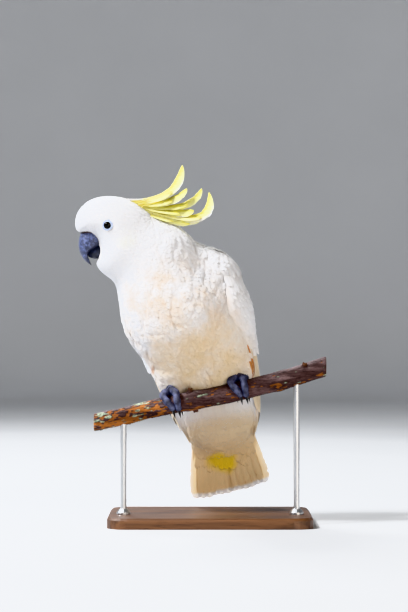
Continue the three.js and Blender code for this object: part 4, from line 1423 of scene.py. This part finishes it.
def plume_colour(finish):
    """Sulphur yellow along the shaft, paling to lemon and to white at the vanes' edges and the tip."""
    across = finish.axes(finish.vane())[0]
    out = across.size() * 90 + finish.noise((40, 40, 900), 3) * 0.5
    inner = finish.mixed(finish.attribute("tone").band(-1, 1) * 0.3, SULPHUR, GOLD)
    outer = finish.attribute("along").band(0.15, 0.6)
    return finish.layers(inner, (out.band(0.35, 0.9), LEMON), (out.band(0.95, 1.4) * outer, WHITE))


def crown_colour(finish):
    """White crown feathers with a breath of lemon where they run into the crest."""
    return finish.mixed(finish.near(CROWN_END, 0.045, 0.02) * 0.6, WHITE, LEMON)


def flight_colour(finish):
    """Flight feathers: white, with beige painted shade on faces that look forwards, where covered vanes gape.
    """
    across = finish.axes(finish.vane())[0]
    inner_web = across.band(0.001, 0.006) * finish.attribute("along").band(0.95, 0.6)
    shaft = across.size().band(0.0007, 0.0002)
    front = in_front(finish)
    # painted shade: beige over the faces that look forwards
    return finish.layers(WHITE, (inner_web * 0.25, LEMON), (shaft * 0.3, BEIGE), (front * 0.85, BEIGE))


def edge_colour(finish):
    """The outermost flight feathers: white in front of the shaft, and behind it, under the next one,
    orange-brown painted shade.
    """
    across = finish.axes(finish.vane())[0]
    streaks = finish.noise((500, 500, 22), 3)
    # painted shade: orange-brown streaks on the web behind the shaft, where the next feather covers it
    behind = (across + streaks * 0.001).band(-0.0030, -0.0022) * finish.attribute("along").band(0.98, 0.85)
    gap_shade = finish.mixed(streaks.band(0.35, 0.65), ORANGE_BROWN, paint(190, 110, 38))
    return finish.mixed(behind * 0.95, WHITE, gap_shade)


def tail_colour(finish):
    """Tail feathers: tan painted shade beneath, with a white rim at the tips, yellow in the middle, and white
    above.
    """
    shaft = finish.axes(finish.vane())[0].size().band(0.0008, 0.0002)
    inside = finish.attribute("along").band(0.97, 0.93)
    streaks = finish.noise((300, 300, 14), 3).band(0.3, 0.7)
    yellow = ragged_patch(finish, *YELLOW_PATCH)
    # painted shade: beige to tan on the faces beneath, with the shafts and the yellow patch laid over it
    beneath = finish.layers(BEIGE, (0.6 + streaks * 0.3, TAN), (shaft * 0.35, ORANGE_BROWN), (yellow * 0.85, GOLD))
    return finish.mixed(in_front(finish) * inside * 0.95, WHITE, beneath)


def bill_finish():
    """Horn: slate, bluer and paler on the sides under a powdery bloom, near black at the tip and beneath,
    with growth lines across and a brown cere at the base; the dark beneath is deepened by painted shade."""
    finish = Finish("bill_horn", Specular_IOR_Level=0.35, Coat_Weight=0.08, Coat_Roughness=0.3)
    base, front, dark = (finish.attribute(name) for name in ("base", "front", "dark"))
    cloud = finish.noise(260, 5, 0.65)
    powder = cloud.band(0.42, 0.72)
    colour = finish.layers(
        paint(54, 59, 82),
        (powder, paint(94, 104, 148)),
        (front.size().band(0.75, 0.2) * powder * 0.5, paint(114, 126, 172)),
        (front.band(0.86, 0.97) * 0.5, paint(98, 105, 128)),
        # painted shade: darker on the side towards the cutting edge, and over the lower bill
        ((front * -1).band(0.0, 0.8) * 0.7, paint(46, 47, 54)),
        (base.band(0.3, 0.04) * 0.85, paint(38, 40, 48)),
        (dark.band(0.0, 0.6), paint(22, 22, 25)),
        (base.band(0.935, 0.965) * 0.9, paint(70, 54, 46)),
    )
    height = (base * 150 + cloud * 5).sine() * 0.35 + cloud * 0.8 + finish.noise(1500, 3) * 0.3
    return finish.done(colour, height, 0.35, 0.0006, 0.42 + powder * 0.25)


def eye_finish():
    """A near black iris round a black pupil, under a wet clear surface."""
    finish = Finish("eye", Roughness=0.2, Specular_IOR_Level=0.15, Coat_Weight=0.12, Coat_Roughness=0.02)
    brown = finish.mixed(finish.noise(1800, 3), paint(10, 8, 7), paint(24, 16, 12))
    return finish.done(finish.mixed(finish.attribute("off_axis").band(2.3, 2.7), paint(6, 6, 7), brown))


def eye_ring_finish():
    """Bare skin: bluish white with a powdery bloom, greyer between its patches."""
    finish = Finish("eye_ring", Roughness=0.6, Subsurface_Weight=0.15, Subsurface_Scale=1.0,
                    Subsurface_Radius=(0.002, 0.0012, 0.001))
    bloom = finish.noise(700).band(0.3, 0.7)
    colour = finish.mixed(bloom, paint(176, 196, 240), paint(222, 232, 252))
    return finish.done(colour, finish.cells(2600), 0.5, 0.0003)


def foot_finish():
    """Scaly skin: blue-grey with paler, powdery scales, and near black painted shade in the creases between
    them.
    """
    finish = Finish("foot_skin", Specular_IOR_Level=0.4)
    raised_up = finish.attribute("scale").band(0.1, 0.5)
    cloud = finish.noise(160)
    pale = finish.mixed(cloud.band(0.35, 0.7), paint(46, 47, 64), paint(88, 92, 122))
    # painted shade: near black in the creases, where the scales are low
    colour = finish.mixed(raised_up, paint(18, 17, 24), pale)
    return finish.done(colour, finish.cells(1700) + finish.noise(3000), 0.4, 0.0003, 0.5 + cloud * 0.25)


def claw_finish():
    """Claws: black horn, worn a little paler and duller at the points, with fine lines along them."""
    finish = Finish("claw_horn", Specular_IOR_Level=0.5)
    wear = finish.noise(500).band(0.4, 0.75)
    worn = wear * finish.attribute("base").band(0.6, 0.1)
    colour = finish.mixed(worn, paint(26, 26, 29), paint(72, 68, 66))
    return finish.done(colour, finish.noise((1800, 1800, 360), 3), 0.3, 0.0003, 0.28 + wear * 0.3)


def bark_finish():
    """A weathered branch: grey-brown flaking bark over orange-brown wood with a painted highlight on top,
    pale dry edges, and lichen.
    """
    finish = Finish("branch", Specular_IOR_Level=0.2)
    bark, lichen = finish.attribute("bark"), finish.attribute("lichen")
    drawn_out = finish.place((12, 90, 90), (0, PERCH_Y * MM, 0.165))
    streaks = finish.noise(1.0, 5, 0.6, 0.4, on=drawn_out)
    fine = finish.noise((120, 500, 500), 4, 0.6)
    wood = finish.mixed(streaks.band(0.3, 0.7), paint(112, 66, 34), paint(164, 106, 60))
    wood = finish.mixed(fine.band(0.45, 0.75) * 0.6, wood, paint(84, 50, 30))
    up = finish.axes(finish.node("NewGeometry", output=1))[2]
    outer = finish.layers(
        paint(58, 43, 42),
        (streaks.band(0.35, 0.65), paint(102, 82, 82)),
        (fine.band(0.42, 0.7) * 0.75, paint(32, 24, 24)),
        # painted highlight: paler grey on the bark where it faces up
        (up.band(0.7, 1.0) * 0.22, paint(150, 138, 142)),
    )
    growth = finish.noise(420).band(0.35, 0.65)
    green = finish.mixed(growth, paint(98, 112, 92), paint(168, 178, 158))
    rings = (finish.noise((18, 252, 252), 1) * 60).sine()
    cut = finish.mixed(rings.band(-0.6, 0.9) * 0.6, paint(206, 168, 120), paint(160, 116, 74))
    colour = finish.layers(
        wood,
        (bark.band(0.25, 0.6), outer),
        (bark.band(0.1, 0.35) * bark.band(0.75, 0.45) * 0.6, paint(66, 46, 36)),
        (lichen * 0.85, green),
        ((bark * -1).band(0.3, 0.8), cut),
    )
    return finish.done(colour, fine + streaks * 0.8 + growth * lichen, 0.55, 0.0009, 0.72 + fine * 0.2)


def board_finish():
    """The base board: dark oiled hardwood with its grain along the length, satin, with open pores."""
    finish = Finish("base_board", Specular_IOR_Level=0.4, Coat_Weight=0.12, Coat_Roughness=0.25)
    back = finish.axes(finish.place())[1]
    grain = finish.noise((5, 110, 60), 5, 0.62, 0.8)
    pores = finish.noise((40, 900, 900), 3, 0.6)
    lines = ((back + finish.noise(4, 2) * 0.02) * 520 + grain * 7).sine()
    colour = finish.layers(
        paint(62, 40, 27),
        (grain.band(0.3, 0.72), paint(112, 76, 50)),
        (lines.band(0.1, 0.95) * 0.4, paint(50, 31, 21)),
        (pores.band(0.56, 0.7) * 0.7, paint(34, 21, 15)),
    )
    return finish.done(colour, pores + grain * 0.4, 0.25, 0.0004, 0.36 + grain * 0.18)


def steel_finish():
    """Satin steel rods, brushed round and with faint smudges."""
    finish = Finish("rod_steel", Metallic=1.0)
    smudge = finish.noise(60)
    lines = finish.noise((60, 60, 6000), 2)
    colour = finish.mixed(smudge, paint(184, 186, 188), paint(206, 207, 208))
    return finish.done(colour, lines, 0.12, 0.0002, 0.22 + smudge * 0.16 + lines * 0.08)


# ---- light, floor and camera -------------------------------------------------------------------------


def soft_light(name, place, aim, size, power, colour):
    """A round lamp at a place in metres, turned towards another."""
    lamp = bpy.data.lights.new(name, "AREA")
    lamp.shape = "DISK"
    lamp.size = size
    lamp.energy = power
    lamp.color = colour
    light = bpy.data.objects.new(name, lamp)
    light.location = place
    aimed = mathutils.Vector(aim) - mathutils.Vector(place)
    light.rotation_euler = aimed.to_track_quat("-Z", "Y").to_euler()
    bpy.context.scene.collection.objects.link(light)


def stage():
    """A round floor that turns up into a low wall all round, as one profile carried round the middle."""
    bend = np.linspace(0, math.pi / 2, 24)
    floor, cove, wall = 4200.0, 900.0, 3600.0
    radius = np.concatenate([[1.0, 400.0, 1500.0], floor + cove * np.sin(bend), [floor + cove]])
    height = np.concatenate([[0, 0, 0], cove * (1 - np.cos(bend)), [wall]])[:, None]
    columns = 96
    turn = round_turn(columns)
    rings = np.stack([radius[:, None] * np.cos(turn), radius[:, None] * np.sin(turn), height + 0 * turn], -1)
    finish = Finish("pale_floor", Roughness=0.9, Specular_IOR_Level=0.2)
    colour = finish.mixed(finish.noise(3, 3), paint(188, 189, 191), paint(196, 197, 199))
    faces = [grid_faces(*rings.shape[:2])[:, ::-1], np.arange(columns)[None]]
    make_piece("floor", [part_of(rings, faces)], [finish.done(colour)], "")


def camera():
    """A long lens straight in front of the bird, level with its middle."""
    lens = bpy.data.cameras.new("camera")
    lens.lens = 144.8
    lens.sensor_fit = "VERTICAL"
    lens.sensor_height = 36.0
    lens.clip_end = 50
    viewer = bpy.data.objects.new("camera", lens)
    viewer.location = (-0.0078, -3.215, 0.2835)
    viewer.rotation_euler = (math.pi / 2, 0, 0)
    bpy.context.scene.collection.objects.link(viewer)
    bpy.context.scene.camera = viewer


def lights():
    """A dim even room, a key light from the front and the bird's right, a rim light from behind and a warm
    fill from the other side."""
    bpy.context.scene.view_settings.view_transform = "Khronos PBR Neutral"
    world = bpy.data.worlds.new("soft_room")
    world.use_nodes = True
    background = world.node_tree.nodes["Background"]
    background.inputs["Color"].default_value = (0.96, 0.98, 1.0, 1)
    background.inputs["Strength"].default_value = 0.17
    bpy.context.scene.world = world
    soft_light("key", (-1.9, -1.0, 2.5), (-0.03, 0, 0.25), 0.8, 218, (0.95, 0.97, 1.0))
    soft_light("rim", (-0.9, 1.5, 1.9), (-0.03, 0, 0.28), 0.9, 80, (0.97, 0.985, 1.0))
    soft_light("fill", (1.5, -2.2, 0.6), (-0.03, 0, 0.22), 1.6, 42, (1.0, 0.9, 0.78))


stage()
camera()
lights()
COAT_FINISH = feather_finish("plumage", plumage_colour)
PLUME_FINISH = feather_finish("crest_plumes", plume_colour)
CROWN_FINISH = feather_finish("crown_feathers", crown_colour)
FLIGHT_FINISH = feather_finish("flight_feathers", flight_colour)
EDGE_FINISH = feather_finish("flight_feather_edges", edge_colour)
TAIL_FINISH = feather_finish("tail_feathers", tail_colour)
SKIN_FINISH = plumage_skin()
EYE_FINISH = eye_finish()
BILL_FINISH = bill_finish()
FOOT_FINISH = foot_finish()
CLAW_FINISH = claw_finish()
BARK_FINISH = bark_finish()

eye_rings = [eye("left"), eye("right")]
flesh = ["trunk", "neck", "head", "thigh_left", "thigh_right"]
make_piece("skin", [skin_of_body(), *eye_rings], [SKIN_FINISH, eye_ring_finish()], "plumage", flesh)
for coat_name, band in COAT.items():
    coat(coat_name, *band)
for make in (wing, flanks, scapulars, beside_vent):
    for side_name, hand in SIDES.items():
        make(hand, side_name)
tail()
tail_coverts("undertail_coverts", -1, (0.72, 0.6, 0.48, 0.37, 0.27, 0.17, 0.08), 0.42)
tail_coverts("uppertail_coverts", 1, (0.6, 0.5, 0.4, 0.3, 0.2, 0.1), 0.36)
crest()
make_piece("upper_bill", [upper_bill()], [BILL_FINISH], "bill", ["bill_upper"])
make_piece("lower_bill", [lower_bill()], [BILL_FINISH], "bill", ["bill_lower"])
legs()
perch()
rod_steel = steel_finish()
stand = {"stand_base": board_finish(), "stand_rod_left": rod_steel, "stand_rod_right": rod_steel}
for node, finish in stand.items():
    bpy.data.objects[node].material_slots[0].material = finish
